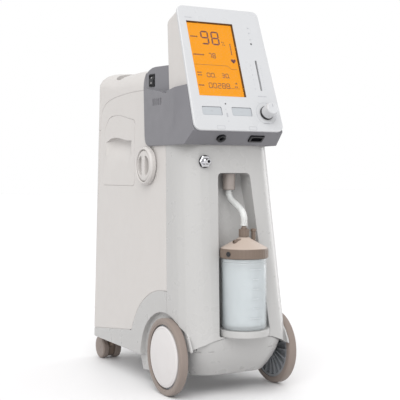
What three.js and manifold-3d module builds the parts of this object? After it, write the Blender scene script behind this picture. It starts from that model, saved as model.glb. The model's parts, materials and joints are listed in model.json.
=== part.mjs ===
// A wheeled oxygen concentrator: a tapered cabinet on two big front wheels and two rear casters, a grey
// saddle housing over its front shoulder that carries a tilted console, and a humidifier in a front niche.
// Lengths are millimetres, +Z is up, the front faces -Y and +X is to the right of someone facing it.
// The shapes are drawn with Y = 0 at the front axle; the outer group moves them to the part's own frame.
import * as THREE from 'three';
import * as BufferGeometryUtils from 'three/addons/utils/BufferGeometryUtils.js';
import Module from 'manifold-3d';

const wasm = await Module();
wasm.setup();

// ---- driving dimensions -------------------------------------------------------------------------
const FRAME_SHIFT = -113.7;       // from the front axle to the middle of the machine's depth
const GAP = 0.4;                 // between neighbouring mouldings
const WALL = 2.8;                // cabinet mouldings

const BODY_BOTTOM = 44;
const REAR_LOW = 304.6;          // rear face at BODY_BOTTOM
const REAR_LEAN = 0.028;         // the rear face leans out by this much per millimetre of height
const HALF_WIDTH_LOW = 92.5;     // cabinet half width at BODY_BOTTOM
const SIDE_TAPER = 0.0389;       // half width lost per millimetre of height
const FRONT_LOW = -69;           // front face at BODY_BOTTOM
const FRONT_RAKE = 0.14;         // the front face leans back by this much per millimetre of height
const FRONT_RADIUS = 42;
const REAR_RADIUS = 26;
const PANEL_TOP = 376;           // the front panel ends inside the grey housing
const CREASE_HEIGHT = 90;        // lower edge of the front panel at its middle
const REAR_SEAM = 286;           // side panels meet the rear cover here
const HOOD_REAR_SEAM = 400;      // the hood meets the rear cover here
const HOOD_TOP = 501;

const WHEEL_RADIUS = 56.7;
const WHEEL_OUTER = 99;          // outer face of a front tyre
const TYRE_WIDTH = 13.5;
const RIM_RADIUS = 47.5;
const HUB_CAP_RADIUS = 44.8;
const AXLE_RADIUS = 5;
const ARCH = { y: 16.5, z: 50, halfLength: 77.5, halfHeight: 69, depth: 83.2, rim: 2.4 };
const FENDER = { halfLength: 118, halfHeight: 101 };
const SKIRT = { bottom: 30, halfTop: 83.6, narrowing: 17.6, retreat: 26, radius: 36, wall: 2.6 };

const CASTER_RADIUS = 20;
const CASTER_X = 58;
const CASTER_STEM_Y = 281;
const CASTER_TRAIL = 22;

const HOUSING_HALF_WIDTH = 83.5;
const HOUSING_BOTTOM = 367.5;
const HOUSING_TOP = 488.5;
const HOUSING_REAR = 101;
const SPLIT_HEIGHT = 451;        // white console above, grey housing below, at the axle
const SPLIT_SLOPE = -0.143;      // the split rises towards the front
const UPPER_CAVITY = 66;         // half width of the hollow behind the console

const CONSOLE_TILT = THREE.MathUtils.degToRad(20.4);
const CONSOLE_Y = -56;
const CONSOLE_Z = 388;
const BEZEL = { low: 75.5, high: 70, height: 200, depth: 5, radius: 12 };
const LCD = { x0: -58.5, x1: 20.5, z0: 53.5, z1: 174.5 };
const BUTTONS = [
  { name: 'left_button', x0: -58.5, x1: -25.5 },
  { name: 'right_button', x0: -9, x1: 25 },
];
const BUTTON_Z = [23, 36.8];
const KNOB = { x: 49.5, z: 28.5, radius: 10, height: 20.5 };
const FLOW = { x: 49.5, z0: 65, z1: 115.5 };

const NICHE = { x: 4, top: 326, floor: 90, back: -2, low: -19.6, topHalf: 27, floorHalf: 43, radius: 6 };
const BOTTLE = { x: 4, y: -58, radius: 32.9, bottom: 100.3, top: 202.6, wall: 1.8 };
const LID = { radius: 35.3, bottom: 203, rim: 218, top: 233 };
const WATER_LEVEL = 188;
const TUBE_RADIUS = 4.8;
const TUBE_BORE = 3.4;
const OUTLET = { x: -45, z: 343 };

const DOOR = { y0: 137, y1: 268, z0: 305.5, z1: 422 };
const INTAKE = { y: 86, z: 337.5, radius: 29.4, cap: 24.4 };

// ---- geometry helpers ---------------------------------------------------------------------------
const AXES = {
  x: new THREE.Matrix4().makeBasis(
    new THREE.Vector3(0, 1, 0), new THREE.Vector3(0, 0, 1), new THREE.Vector3(1, 0, 0)),
  y: new THREE.Matrix4().makeBasis(
    new THREE.Vector3(0, 0, 1), new THREE.Vector3(1, 0, 0), new THREE.Vector3(0, 1, 0)),
  z: new THREE.Matrix4(),
};

function solid(geometry) {
  geometry.deleteAttribute('normal');
  geometry.deleteAttribute('uv');
  const merged = BufferGeometryUtils.mergeVertices(geometry, 1e-4);
  return new wasm.Manifold(new wasm.Mesh({
    numProp: 3,
    vertProperties: new Float32Array(merged.attributes.position.array),
    triVerts: new Uint32Array(merged.index.array),
  }));
}

function toGeometry(manifold) {
  const mesh = manifold.getMesh();
  const geometry = new THREE.BufferGeometry();
  geometry.setAttribute('position', new THREE.BufferAttribute(mesh.vertProperties, 3));
  geometry.setIndex(new THREE.BufferAttribute(mesh.triVerts, 1));
  return geometry;
}

// An outline of [a, b, radius] corners with each corner rounded to its radius.
function rounded(corners, steps = 4) {
  const outline = [];
  corners.forEach(([a, b, radius = 0], i) => {
    const here = new THREE.Vector2(a, b);
    if (radius === 0) {
      outline.push(here);
      return;
    }
    const [pa, pb] = corners[(i + corners.length - 1) % corners.length];
    const [na, nb] = corners[(i + 1) % corners.length];
    const back = new THREE.Vector2(pa, pb).sub(here).normalize();
    const ahead = new THREE.Vector2(na, nb).sub(here).normalize();
    const half = Math.acos(THREE.MathUtils.clamp(back.dot(ahead), -1, 1)) / 2;
    const centre = back.clone().add(ahead).normalize().multiplyScalar(radius / Math.sin(half)).add(here);
    const first = back.clone().multiplyScalar(radius / Math.tan(half)).add(here).sub(centre).angle();
    const last = ahead.clone().multiplyScalar(radius / Math.tan(half)).add(here).sub(centre).angle();
    let sweep = last - first;
    if (sweep > Math.PI) {
      sweep -= 2 * Math.PI;
    } else if (sweep < -Math.PI) {
      sweep += 2 * Math.PI;
    }
    for (let k = 0; k <= steps; k += 1) {
      const angle = first + (sweep * k) / steps;
      outline.push(new THREE.Vector2(
        centre.x + radius * Math.cos(angle), centre.y + radius * Math.sin(angle)));
    }
  });
  return outline;
}

// A prism along an axis. Outlines are (y, z) along x, (z, x) along y and (x, y) along z.
function prism(axis, outline, from, to) {
  const shape = new THREE.Shape(outline.map((p) => (p.isVector2 ? p : new THREE.Vector2(...p))));
  const geometry = new THREE.ExtrudeGeometry(shape, { depth: to - from, bevelEnabled: false });
  geometry.translate(0, 0, from);
  geometry.applyMatrix4(AXES[axis]);
  return solid(geometry);
}

function box(x0, x1, y0, y1, z0, z1) {
  const geometry = new THREE.BoxGeometry(x1 - x0, y1 - y0, z1 - z0);
  geometry.translate((x0 + x1) / 2, (y0 + y1) / 2, (z0 + z1) / 2);
  return solid(geometry);
}

// A solid of revolution: profile points are [radius, distance along the axis] and close on the axis or
// on themselves; at is the point where the distance is zero.
function turned(axis, profile, at, segments = 24) {
  const geometry = new THREE.LatheGeometry(profile.map(([r, h]) => new THREE.Vector2(r, h)), segments);
  geometry.rotateX(Math.PI / 2);
  geometry.applyMatrix4(AXES[axis]);
  geometry.translate(...at);
  const made = solid(geometry);
  return made.volume() > 0 ? made : solid(BufferGeometryUtils.mergeVertices(flipped(geometry)));
}

function flipped(geometry) {
  const other = geometry.clone();
  const index = other.index.array;
  for (let i = 0; i < index.length; i += 3) {
    [index[i], index[i + 1]] = [index[i + 1], index[i]];
  }
  return other;
}

function rod(axis, radius, from, to, at, segments = 20) {
  return turned(axis, [[0, from], [radius, from], [radius, to], [0, to]], at, segments);
}

function ring(axis, inner, outer, from, to, at, segments = 28) {
  return rod(axis, outer, from, to, at, segments).subtract(rod(axis, inner, from - 1, to + 1, at, segments));
}

function union(...solids) {
  return solids.reduce((a, b) => a.add(b));
}

// Points spread evenly along a smooth curve through the given ones.
function smooth(points, steps) {
  return new THREE.SplineCurve(points.map((p) => new THREE.Vector2(...p))).getSpacedPoints(steps);
}

// A hollow or solid tube along a smooth curve through the points.
function tube(points, radius, bore = 0, steps = 16, sides = 10) {
  const curve = new THREE.CatmullRomCurve3(points.map((p) => new THREE.Vector3(...p)));
  const shape = new THREE.Shape(circle(radius, sides));
  if (bore > 0) {
    shape.holes.push(new THREE.Path(circle(bore, sides)));
  }
  return solid(new THREE.ExtrudeGeometry(shape, { steps, extrudePath: curve, bevelEnabled: false }));
}

function circle(radius, sides) {
  return Array.from({ length: sides }, (_, k) => new THREE.Vector2(
    radius * Math.cos((2 * Math.PI * k) / sides), radius * Math.sin((2 * Math.PI * k) / sides)));
}

function ellipse(cy, cz, halfY, halfZ, sides = 32) {
  return circle(1, sides).map((p) => [cy + halfY * p.x, cz + halfZ * p.y]);
}

// A solid through outlines across the axis that all have the same number of points.
function loft(levels, axis = 'z') {
  const count = levels[0].outline.length;
  const positions = [];
  const index = [];
  levels.forEach(({ z, outline }) => outline.forEach((p) => positions.push(p.x, p.y, z)));
  for (let level = 0; level + 1 < levels.length; level += 1) {
    for (let k = 0; k < count; k += 1) {
      const a = level * count + k;
      const b = level * count + ((k + 1) % count);
      index.push(a, b, b + count, a, b + count, a + count);
    }
  }
  const topStart = (levels.length - 1) * count;
  for (let k = 1; k + 1 < count; k += 1) {
    index.push(0, k + 1, k, topStart, topStart + k, topStart + k + 1);
  }
  const geometry = new THREE.BufferGeometry();
  geometry.setAttribute('position', new THREE.Float32BufferAttribute(positions, 3));
  geometry.setIndex(index);
  geometry.applyMatrix4(AXES[axis]);
  return solid(geometry);
}

function plastic(color, roughness = 0.45) {
  return new THREE.MeshStandardMaterial({ color, roughness, metalness: 0 });
}

function metal(color, roughness = 0.25) {
  return new THREE.MeshStandardMaterial({ color, roughness, metalness: 1 });
}

const FINISH = {
  ivory: plastic(0xdad6d2),
  white: plastic(0xe4e5ea, 0.35),
  grey: plastic(0x87868b, 0.5),
  taupe: plastic(0xa8998f, 0.6),
  black: plastic(0x17171b, 0.4),
  inner: plastic(0x8f9499, 0.6),
  clear: plastic(0xdfe8ec, 0.1),
  water: plastic(0xbfd2dc, 0.05),
  orange: plastic(0xfda52b, 0.3),
  foam: plastic(0x4a4d52, 0.9),
  board: plastic(0x2d5f45, 0.5),
  chrome: metal(0xc9ccd1, 0.12),
  steel: metal(0xb4b7bb, 0.35),
  aluminium: metal(0xa9adb2, 0.4),
};

const machine = new THREE.Group();
machine.position.y = FRAME_SHIFT;
const consoleGroup = new THREE.Group();
consoleGroup.position.set(0, CONSOLE_Y, CONSOLE_Z);
consoleGroup.rotation.x = -CONSOLE_TILT;
machine.add(consoleGroup);

function add(name, manifold, material, group = machine) {
  const mesh = new THREE.Mesh(toGeometry(manifold), material);
  mesh.name = name;
  group.add(mesh);
}

// A solid drawn in the console's own frame, moved to the machine's frame for cutting.
function fromConsole(manifold) {
  const geometry = toGeometry(manifold);
  consoleGroup.updateMatrix();
  geometry.applyMatrix4(consoleGroup.matrix);
  return solid(geometry);
}

function mirrored(build, nameStem) {
  for (const side of [-1, 1]) {
    build(side, `${nameStem}_${side < 0 ? 'left' : 'right'}`);
  }
}

// ---- cabinet form -------------------------------------------------------------------------------
const halfWidth = (z) => HALF_WIDTH_LOW - SIDE_TAPER * (z - BODY_BOTTOM);
const frontFace = (z) => FRONT_LOW + FRONT_RAKE * (z - BODY_BOTTOM);
const frontSeam = (z) => 7.7 + 0.092 * (z - 125);
const lowerSeam = (y) => 59.6 + 0.1216 * (276 - y);
const rearFace = (z) => REAR_LOW + REAR_LEAN * (z - BODY_BOTTOM);

function cabinetOutline(z, inset) {
  const w = halfWidth(z) - inset;
  const front = frontFace(z) + inset;
  const rear = rearFace(z) - inset;
  return rounded([
    [-w, front, FRONT_RADIUS - inset], [w, front, FRONT_RADIUS - inset],
    [w, rear, REAR_RADIUS - inset], [-w, rear, REAR_RADIUS - inset],
  ], 5);
}

function cabinet(inset, from, to) {
  return loft([from, to].map((z) => ({ z, outline: cabinetOutline(z, inset) })));
}

const WIDE = 200;
const TALL = 520;
const cabinetOuter = cabinet(0, BODY_BOTTOM, TALL);
const cabinetWall = cabinetOuter.subtract(cabinet(WALL, BODY_BOTTOM - 1, TALL + 1));

// The wheel arches, their turned-in rims and the thin plates that close them behind the wheels.
const onBothSides = (outline, from, to) => prism('x', outline, from, to).add(prism('x', outline, -to, -from));
const archOutline = (grow) => ellipse(ARCH.y, ARCH.z, ARCH.halfLength + grow, ARCH.halfHeight + grow);
const arches = onBothSides(archOutline(0), ARCH.depth, WIDE);
const archRims = onBothSides(archOutline(ARCH.rim), ARCH.depth, WIDE).subtract(arches).intersect(cabinetOuter);
const plateInner = ARCH.depth - GAP - ARCH.rim;
const archPlates = onBothSides(archOutline(ARCH.rim), plateInner, ARCH.depth - GAP);
const archLinks = onBothSides(archOutline(ARCH.rim), plateInner, ARCH.depth)
  .subtract(onBothSides(archOutline(0), plateInner - 1, ARCH.depth + 1));

// Regions in side view that share the cabinet wall between the mouldings.
const seamLine = (offset, from, to) => [[frontSeam(from) + offset, from], [frontSeam(to) + offset, to]];
const hoodCurve = smooth([
  [80, 455.4], [120, 456.3], [160, 456.4], [205, 454.5], [240, 451], [264, 445.5], [278, 436], [284.5, 422],
  [REAR_SEAM, 405], [REAR_SEAM, HOOD_REAR_SEAM]], 22).map((p) => [p.x, p.y]);

function region(outline) {
  return prism('x', outline, -WIDE, WIDE);
}

const frontRegion = region([[-WIDE, 0], ...seamLine(-GAP / 2, 0, PANEL_TOP), [-WIDE, PANEL_TOP]]);
const wheelEllipse = (halfLength, halfHeight) => ellipse(ARCH.y, ARCH.z, halfLength, halfHeight, 48);
const fender = region(wheelEllipse(FENDER.halfLength, FENDER.halfHeight));
const aroundFender = region(wheelEllipse(FENDER.halfLength + GAP, FENDER.halfHeight + GAP));
const behindSeam = region([...seamLine(GAP / 2, 30, 200), [2 * WIDE, 200], [2 * WIDE, 30]].reverse());
const sideRegion = region([
  ...seamLine(GAP / 2, 90, 446), [82, 446], ...hoodCurve.map(([y, z]) => [y - GAP, z - GAP]),
  [REAR_SEAM - GAP, lowerSeam(REAR_SEAM) + GAP], [40, lowerSeam(40) + GAP]]).subtract(aroundFender);
const rearRegion = region([
  [REAR_SEAM + GAP, lowerSeam(REAR_SEAM) + GAP], [WIDE * 2, lowerSeam(WIDE * 2) + GAP],
  [WIDE * 2, HOOD_REAR_SEAM - GAP], [REAR_SEAM + GAP, HOOD_REAR_SEAM - GAP]]);

// ---- front panel and skirt ----------------------------------------------------------------------
const crease = (x) => CREASE_HEIGHT - 20 * Math.abs(x / 84) ** 2.4;
const creaseXs = [-100, -84, -70, -50, -25, 0, 25, 50, 70, 84, 100];

function nicheOutline(grow) {
  return rounded([
    [NICHE.floor - grow, NICHE.x - NICHE.floorHalf - grow, 3],
    [NICHE.top + grow, NICHE.x - NICHE.topHalf - grow, NICHE.radius],
    [NICHE.top + grow, NICHE.x + NICHE.topHalf + grow, NICHE.radius],
    [NICHE.floor - grow, NICHE.x + NICHE.floorHalf + grow, 3],
  ].reverse(), 3);
}

// The back of the niche stands close behind the bottle and slopes away above the lid.
const nicheDepth = (offset) => region([
  [-WIDE, 60], [NICHE.low + offset, 60], [NICHE.low + offset, 236], [NICHE.back + offset, 304],
  [NICHE.back + offset, 350], [-WIDE, 350]]);
const NICHE_WALL = 2.5;
const nicheSpace = prism('y', nicheOutline(0), -WIDE, 0).intersect(nicheDepth(0));
const nicheWalls = prism('y', nicheOutline(NICHE_WALL), -WIDE, NICHE_WALL).intersect(nicheDepth(NICHE_WALL))
  .intersect(cabinetOuter);
const aboveCrease = prism('y', [
  ...creaseXs.map((x) => [crease(x) + GAP / 2, x]), [PANEL_TOP, 100], [PANEL_TOP, -100],
], -WIDE, WIDE);
const outletHole = rod('y', 6.3, -90, 0, [OUTLET.x, 0, OUTLET.z]);

const frontArch = archLinks.add(archPlates).intersect(box(-WIDE, WIDE, -WIDE, -14, BODY_BOTTOM, TALL));
add('front_panel', cabinetWall.add(archRims).intersect(frontRegion).intersect(aboveCrease)
  .add(nicheWalls.intersect(aboveCrease)).add(frontArch.intersect(aboveCrease))
  .subtract(nicheSpace).subtract(arches).subtract(outletHole), FINISH.white);

// The skirt narrows and draws back towards its rim, and has a floor of its own.
function skirtOutline(z, inset) {
  const share = (CREASE_HEIGHT - z) / (CREASE_HEIGHT - SKIRT.bottom);
  const w = SKIRT.halfTop - SKIRT.narrowing * share ** 1.5 - inset;
  const front = frontFace(CREASE_HEIGHT) + 0.6 + SKIRT.retreat * share ** 2 + inset;
  const radius = SKIRT.radius - inset;
  return rounded([[-w, front, radius], [w, front, radius], [w, 40, 0], [-w, 40, 0]], 6);
}

const skirtLevels = [SKIRT.bottom, 32.5, 37, 44, 53, 64, 76, CREASE_HEIGHT];
const skirtForm = (inset) => loft(skirtLevels.map((z) => ({
  z: z < CREASE_HEIGHT ? Math.max(z, SKIRT.bottom + inset * (1 + z * 0.001)) : z + inset,
  outline: skirtOutline(z, inset),
})));
const belowCrease = prism('y', [
  ...creaseXs.map((x) => [crease(x) - GAP / 2, x]).reverse(), [20, -100], [20, 100],
], -WIDE, -16);
const skirtSlots = union(...[-68, -50, 50, 68].map((x) => box(x - 4, x + 4, -WIDE, -20, 68, 69.6)))
  .subtract(skirtForm(1));
add('front_skirt', skirtForm(0).subtract(skirtForm(SKIRT.wall)).intersect(belowCrease).subtract(skirtSlots),
  FINISH.white);

// ---- side panels and filter door ----------------------------------------------------------------
function doorOutline(grow) {
  return rounded([
    [DOOR.y0 - grow, DOOR.z0 - grow, 8], [DOOR.y1 + grow, DOOR.z0 - grow, 8],
    [DOOR.y1 + grow, DOOR.z1 + grow, 34], [205, DOOR.z1 + grow, 30],
    [DOOR.y0 + 7 - grow, DOOR.z1 - 11 + grow, 6],
  ], 6);
}

// The finger scoop under the door's wavy ledge, as [y, z, depth]. It runs out downwards and to both ends.
const LEDGE = [
  [154, 379, 0.2], [162, 379, 5], [172, 379.3, 8], [186, 381, 9.5], [204, 383.8, 10], [222, 385.2, 10],
  [238, 384.2, 8], [250, 381, 4.5], [258, 378, 0.2]];
function scoop(grow) {
  const levels = LEDGE.map(([y, z, depth], i) => {
    const end = (i === 0 ? -grow : 0) + (i === LEDGE.length - 1 ? grow : 0);
    const under = z - 9;
    const middle = z - 22;
    const foot = z - 40;
    return {
      z: y + end,
      outline: [
        [z + grow, -halfWidth(z) - 12], [z + grow, -halfWidth(z) + depth + grow],
        [under, -halfWidth(under) + depth + grow], [middle, -halfWidth(middle) + 0.42 * depth + grow],
        [foot, -halfWidth(foot) - 0.5 + grow], [foot, -halfWidth(foot) - 12],
      ].map((p) => new THREE.Vector2(...p)),
    };
  });
  return loft(levels, 'y');
}

const leftHalf = box(-WIDE, 0, -WIDE, 2 * WIDE, 0, TALL);
const rightHalf = box(0, WIDE, -WIDE, 2 * WIDE, 0, TALL);
const sideWall = cabinetWall.intersect(sideRegion).subtract(arches);
const doorHole = prism('x', doorOutline(0), -WIDE, 0);
const doorFill = prism('x', doorOutline(-GAP - 0.1), -WIDE, 0);
const intakeHole = rod('x', INTAKE.cap + 2.4, -WIDE, -40, [0, INTAKE.y, INTAKE.z], 28);

// The filter sits in a tray moulded behind the door opening, with an open grille for its back.
const trayDepth = -62;
const tray = box(-75.4, trayDepth, DOOR.y0 + 4, DOOR.y1 - 4, DOOR.z0 + 6, DOOR.z1 - 26)
  .subtract(box(-100, trayDepth - 3, DOOR.y0 + 7, DOOR.y1 - 7, DOOR.z0 + 9, DOOR.z1 - 29));
const traySlots = union(...Array.from({ length: 6 }, (_, k) => box(
  trayDepth - 5, trayDepth + 5, DOOR.y0 + 14 + 18 * k, DOOR.y0 + 25 + 18 * k, DOOR.z0 + 16, DOOR.z1 - 36)));
const tabSpans = [[DOOR.y0 - 4, DOOR.y0 - 1, DOOR.y0 + 6], [DOOR.y1 + 4, DOOR.y1 + 1, DOOR.y1 - 6]];
const trayTabs = union(...tabSpans.map(([end, edge, inside]) => box(
  -84, -74, Math.min(end, inside), Math.max(end, inside), 340, 350).intersect(cabinet(WALL + 0.5, 100, 460))
  .add(box(-84, -74, Math.min(end, edge), Math.max(end, edge), 340, 350).intersect(cabinet(1.4, 100, 460)))));

add('left_side_panel', sideWall.intersect(leftHalf).subtract(doorHole).subtract(intakeHole)
  .add(tray.subtract(traySlots)).add(trayTabs), FINISH.ivory);
add('right_side_panel', sideWall.intersect(rightHalf), FINISH.ivory);

add('filter_foam', box(-75.9, trayDepth - 3.4, DOOR.y0 + 7.4, DOOR.y1 - 7.4, DOOR.z0 + 9.4, DOOR.z1 - 29.4)
  .subtract(scoop(3.4)), FINISH.foam);
add('filter_door', cabinetWall.intersect(doorFill)
  .add(scoop(2.2).intersect(cabinetOuter).intersect(doorFill))
  .subtract(scoop(0)), FINISH.ivory);

const intakeFace = -halfWidth(INTAKE.z);
const intakeAt = [0, INTAKE.y, INTAKE.z];
add('intake_ring', turned('x', [
  [INTAKE.cap + 0.5, intakeFace + 9], [INTAKE.cap + 2, intakeFace + 9],
  [INTAKE.cap + 2, intakeFace - 1.6], [INTAKE.radius, intakeFace - 1.6],
  [INTAKE.radius - 0.6, intakeFace - 8.4], [INTAKE.radius - 2.6, intakeFace - 10.4],
  [INTAKE.cap + 0.5, intakeFace - 10.4], [INTAKE.cap + 0.5, intakeFace + 9],
], intakeAt, 36), FINISH.ivory);
// Two finger pockets leave a grip bar across the middle of the cap.
const capPockets = union(...[-1, 1].map((side) => prism('x', rounded([
  [INTAKE.y + side * 5.5, INTAKE.z - 17.5, 3], [INTAKE.y + side * 5.5, INTAKE.z + 17.5, 3],
  [INTAKE.y + side * 19, INTAKE.z + 9, 9], [INTAKE.y + side * 19, INTAKE.z - 9, 9],
], 4), intakeFace - 20, intakeFace - 1)));
add('intake_cap', turned('x', [
  [0, intakeFace + 12], [INTAKE.cap - 6, intakeFace + 12], [INTAKE.cap, intakeFace + 7],
  [INTAKE.cap, intakeFace - 7.6], [INTAKE.cap - 2.4, intakeFace - 9.6], [0, intakeFace - 10.6],
], intakeAt, 36).subtract(capPockets), FINISH.ivory);

// ---- rear hood with its grip --------------------------------------------------------------------
const hoodRidge = smooth([
  [60, 484], [84, 485], [104, 487.2], [124, 491.5], [160, 494.3], [200, 494.4], [232, 494], [262, 498],
  [290, HOOD_TOP], [304, 499.4], [312, 494], [317.4, 484], [320, 474]], 24);
const hoodDrop = smooth([[-84, 60], [-76.5, 29], [-71, 16.5], [-65, 9.5], [-55, 4], [-36, 1], [0, 0],
  [36, 1], [55, 4], [65, 9.5], [71, 16.5], [76.5, 29], [84, 60]], 24);
function hoodForm(inset) {
  const crown = loft(hoodRidge.map((ridge) => ({
    z: ridge.x - (ridge.x > 290 ? inset : 0),
    outline: [
      new THREE.Vector2(350, 90), new THREE.Vector2(350, -90),
      ...hoodDrop.map((p) => new THREE.Vector2(ridge.y - p.y - inset, p.x * (1 - inset / 90))),
    ],
  })), 'y');
  return cabinet(inset, 350, TALL).intersect(crown);
}
const hoodRegion = region([
  [86.4, hoodCurve[0][1]], ...hoodCurve.slice(1), [2 * WIDE, HOOD_REAR_SEAM], [2 * WIDE, TALL],
  [86.4, TALL]]);
const GRIP = { half: 66, y0: 218, y1: 258, floor: 455, reach: 286 };
const gripSlot = prism('z', rounded([
  [-GRIP.half, GRIP.y0, 17], [GRIP.half, GRIP.y0, 17], [GRIP.half, GRIP.y1, 17], [-GRIP.half, GRIP.y1, 17],
], 5), GRIP.floor, TALL).add(box(-54, 54, 236, GRIP.reach, GRIP.floor, 478));
const gripPocket = box(-GRIP.half - 3, GRIP.half + 3, GRIP.y0 - 3, GRIP.reach + 3, GRIP.floor - 2.5, 497)
  .intersect(hoodForm(0.6));
add('rear_hood', hoodForm(0).subtract(hoodForm(3)).intersect(hoodRegion)
  .add(gripPocket).subtract(gripSlot), FINISH.ivory);

// ---- rear cover ---------------------------------------------------------------------------------
const INLET = { x: 34, z: 112 };
const GRILLE = { x0: -58, x1: 8, z0: 92, z1: 150 };
const inletFace = rearFace(INLET.z);
add('rear_cover', cabinetWall.intersect(rearRegion)
  .subtract(box(INLET.x - 14, INLET.x + 14, 280, 330, INLET.z - 11.5, INLET.z + 11.5))
  .subtract(box(GRILLE.x0, GRILLE.x1, 280, 330, GRILLE.z0, GRILLE.z1)), FINISH.ivory);
const inletPins = [[-6, 0], [0, 3], [6, 0]].map(([dx, dz]) => box(
  INLET.x + dx - 1, INLET.x + dx + 1, inletFace - 14, inletFace - 1, INLET.z + dz - 2, INLET.z + dz + 2));
add('power_inlet', union(
  box(INLET.x - 13.6, INLET.x + 13.6, inletFace - 18, inletFace + 0.8, INLET.z - 11, INLET.z + 11),
  box(INLET.x - 18, INLET.x + 18, inletFace + 0.8, inletFace + 2.8, INLET.z - 14, INLET.z + 14))
  .subtract(box(INLET.x - 10, INLET.x + 10, inletFace - 12, inletFace + 9, INLET.z - 6.5, INLET.z + 6.5))
  .add(union(...inletPins)), FINISH.black);
const louvres = union(...Array.from({ length: 6 }, (_, k) => box(
  GRILLE.x0 + 5, GRILLE.x1 - 5, 280, 330, GRILLE.z0 + 6 + 8.4 * k, GRILLE.z0 + 10 + 8.4 * k)));
add('exhaust_grille', box(
  GRILLE.x0 + GAP, GRILLE.x1 - GAP, inletFace - 3.6, inletFace + 1.4, GRILLE.z0 + GAP, GRILLE.z1 - GAP)
  .subtract(louvres), FINISH.ivory);

// ---- base chassis -------------------------------------------------------------------------------
const FLOOR_TOP = BODY_BOTTOM + 4;
const baseRegion = region([
  [frontSeam(44) + 6, 30], [2 * WIDE, 30], [2 * WIDE, lowerSeam(2 * WIDE)],
  [frontSeam(80) + 6, lowerSeam(14)]]);
const floorNose = rounded([[-57, -38, 16], [57, -38, 16], [57, 0, 0], [-57, 0, 0]], 3);
const floor = cabinet(0, BODY_BOTTOM, FLOOR_TOP).intersect(box(-WIDE, WIDE, -14, 2 * WIDE, 30, 60))
  .add(prism('z', floorNose, BODY_BOTTOM, FLOOR_TOP));
const wells = archPlates.intersect(box(-WIDE, WIDE, -13, 2 * WIDE, BODY_BOTTOM, TALL));
const bearings = box(62, 82, -13, 13, BODY_BOTTOM, 74).add(box(-82, -62, -13, 13, BODY_BOTTOM, 74));
const atCasters = (build) => build(-CASTER_X).add(build(CASTER_X));
const casterBosses = atCasters((x) => rod('z', 13, BODY_BOTTOM, 74, [x, CASTER_STEM_Y, 0]));
const casterHoles = atCasters((x) => rod('z', 5.5, 30, 70, [x, CASTER_STEM_Y, 0]));
const wheelGuards = onBothSides([[72, 60], [84, 20], [104, 18], [118, 46], [118, 60]].reverse(), 76, 82);
const axleBore = rod('x', AXLE_RADIUS + 0.4, -WIDE, WIDE, [0, 0, WHEEL_RADIUS]);
const lowerWalls = cabinetWall.add(archRims).intersect(baseRegion.add(fender.intersect(behindSeam)))
  .add(archLinks.intersect(behindSeam).intersect(box(-WIDE, WIDE, -WIDE, 2 * WIDE, BODY_BOTTOM, TALL)));
add('base_chassis', union(
  lowerWalls.subtract(arches), floor.subtract(arches), wells, bearings, casterBosses, wheelGuards)
  .subtract(axleBore).subtract(casterHoles), FINISH.white);

// ---- front wheels -------------------------------------------------------------------------------
add('front_axle', rod('x', AXLE_RADIUS, -95, 95, [0, 0, WHEEL_RADIUS], 16), FINISH.steel);
const axleAt = [0, 0, WHEEL_RADIUS];
const along = (side, profile) => profile.map(([r, h]) => [r, side * h]);
const wheelInner = WHEEL_OUTER - TYRE_WIDTH;
mirrored((side, name) => add(name, turned('x', along(side, [
  [RIM_RADIUS, wheelInner], [WHEEL_RADIUS - 2.5, wheelInner], [WHEEL_RADIUS, wheelInner + 2.5],
  [WHEEL_RADIUS, WHEEL_OUTER - 2.5], [WHEEL_RADIUS - 2.5, WHEEL_OUTER], [RIM_RADIUS, WHEEL_OUTER],
  [RIM_RADIUS, wheelInner]]), axleAt, 40), FINISH.taupe), 'tyre');
mirrored((side, name) => {
  const disc = turned('x', along(side, [
    [AXLE_RADIUS + 0.4, 84.4], [12, 84.4], [12, 92], [RIM_RADIUS - 4, 92], [RIM_RADIUS - 4, wheelInner + 1],
    [RIM_RADIUS - 0.3, wheelInner + 1], [RIM_RADIUS - 0.3, 95], [AXLE_RADIUS + 0.4, 95],
    [AXLE_RADIUS + 0.4, 84.4]]), axleAt, 32);
  const ribMiddle = side * 89.75;
  const rib = box(ribMiddle - 2.75, ribMiddle + 2.75, -0.9, 0.9, 10, RIM_RADIUS - 3);
  const ribs = union(...Array.from({ length: 12 }, (_, k) => rib.rotate([30 * k, 0, 0])));
  add(name, disc.add(ribs.translate(axleAt)), FINISH.inner);
}, 'wheel_hub');
mirrored((side, name) => add(name, turned('x', along(side, [
  [0, 95.4], [HUB_CAP_RADIUS, 95.4], [HUB_CAP_RADIUS, 98.6], [HUB_CAP_RADIUS - 5, 99.8], [0, 101.2],
]), axleAt, 32), FINISH.white), 'hub_cap');

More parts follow.
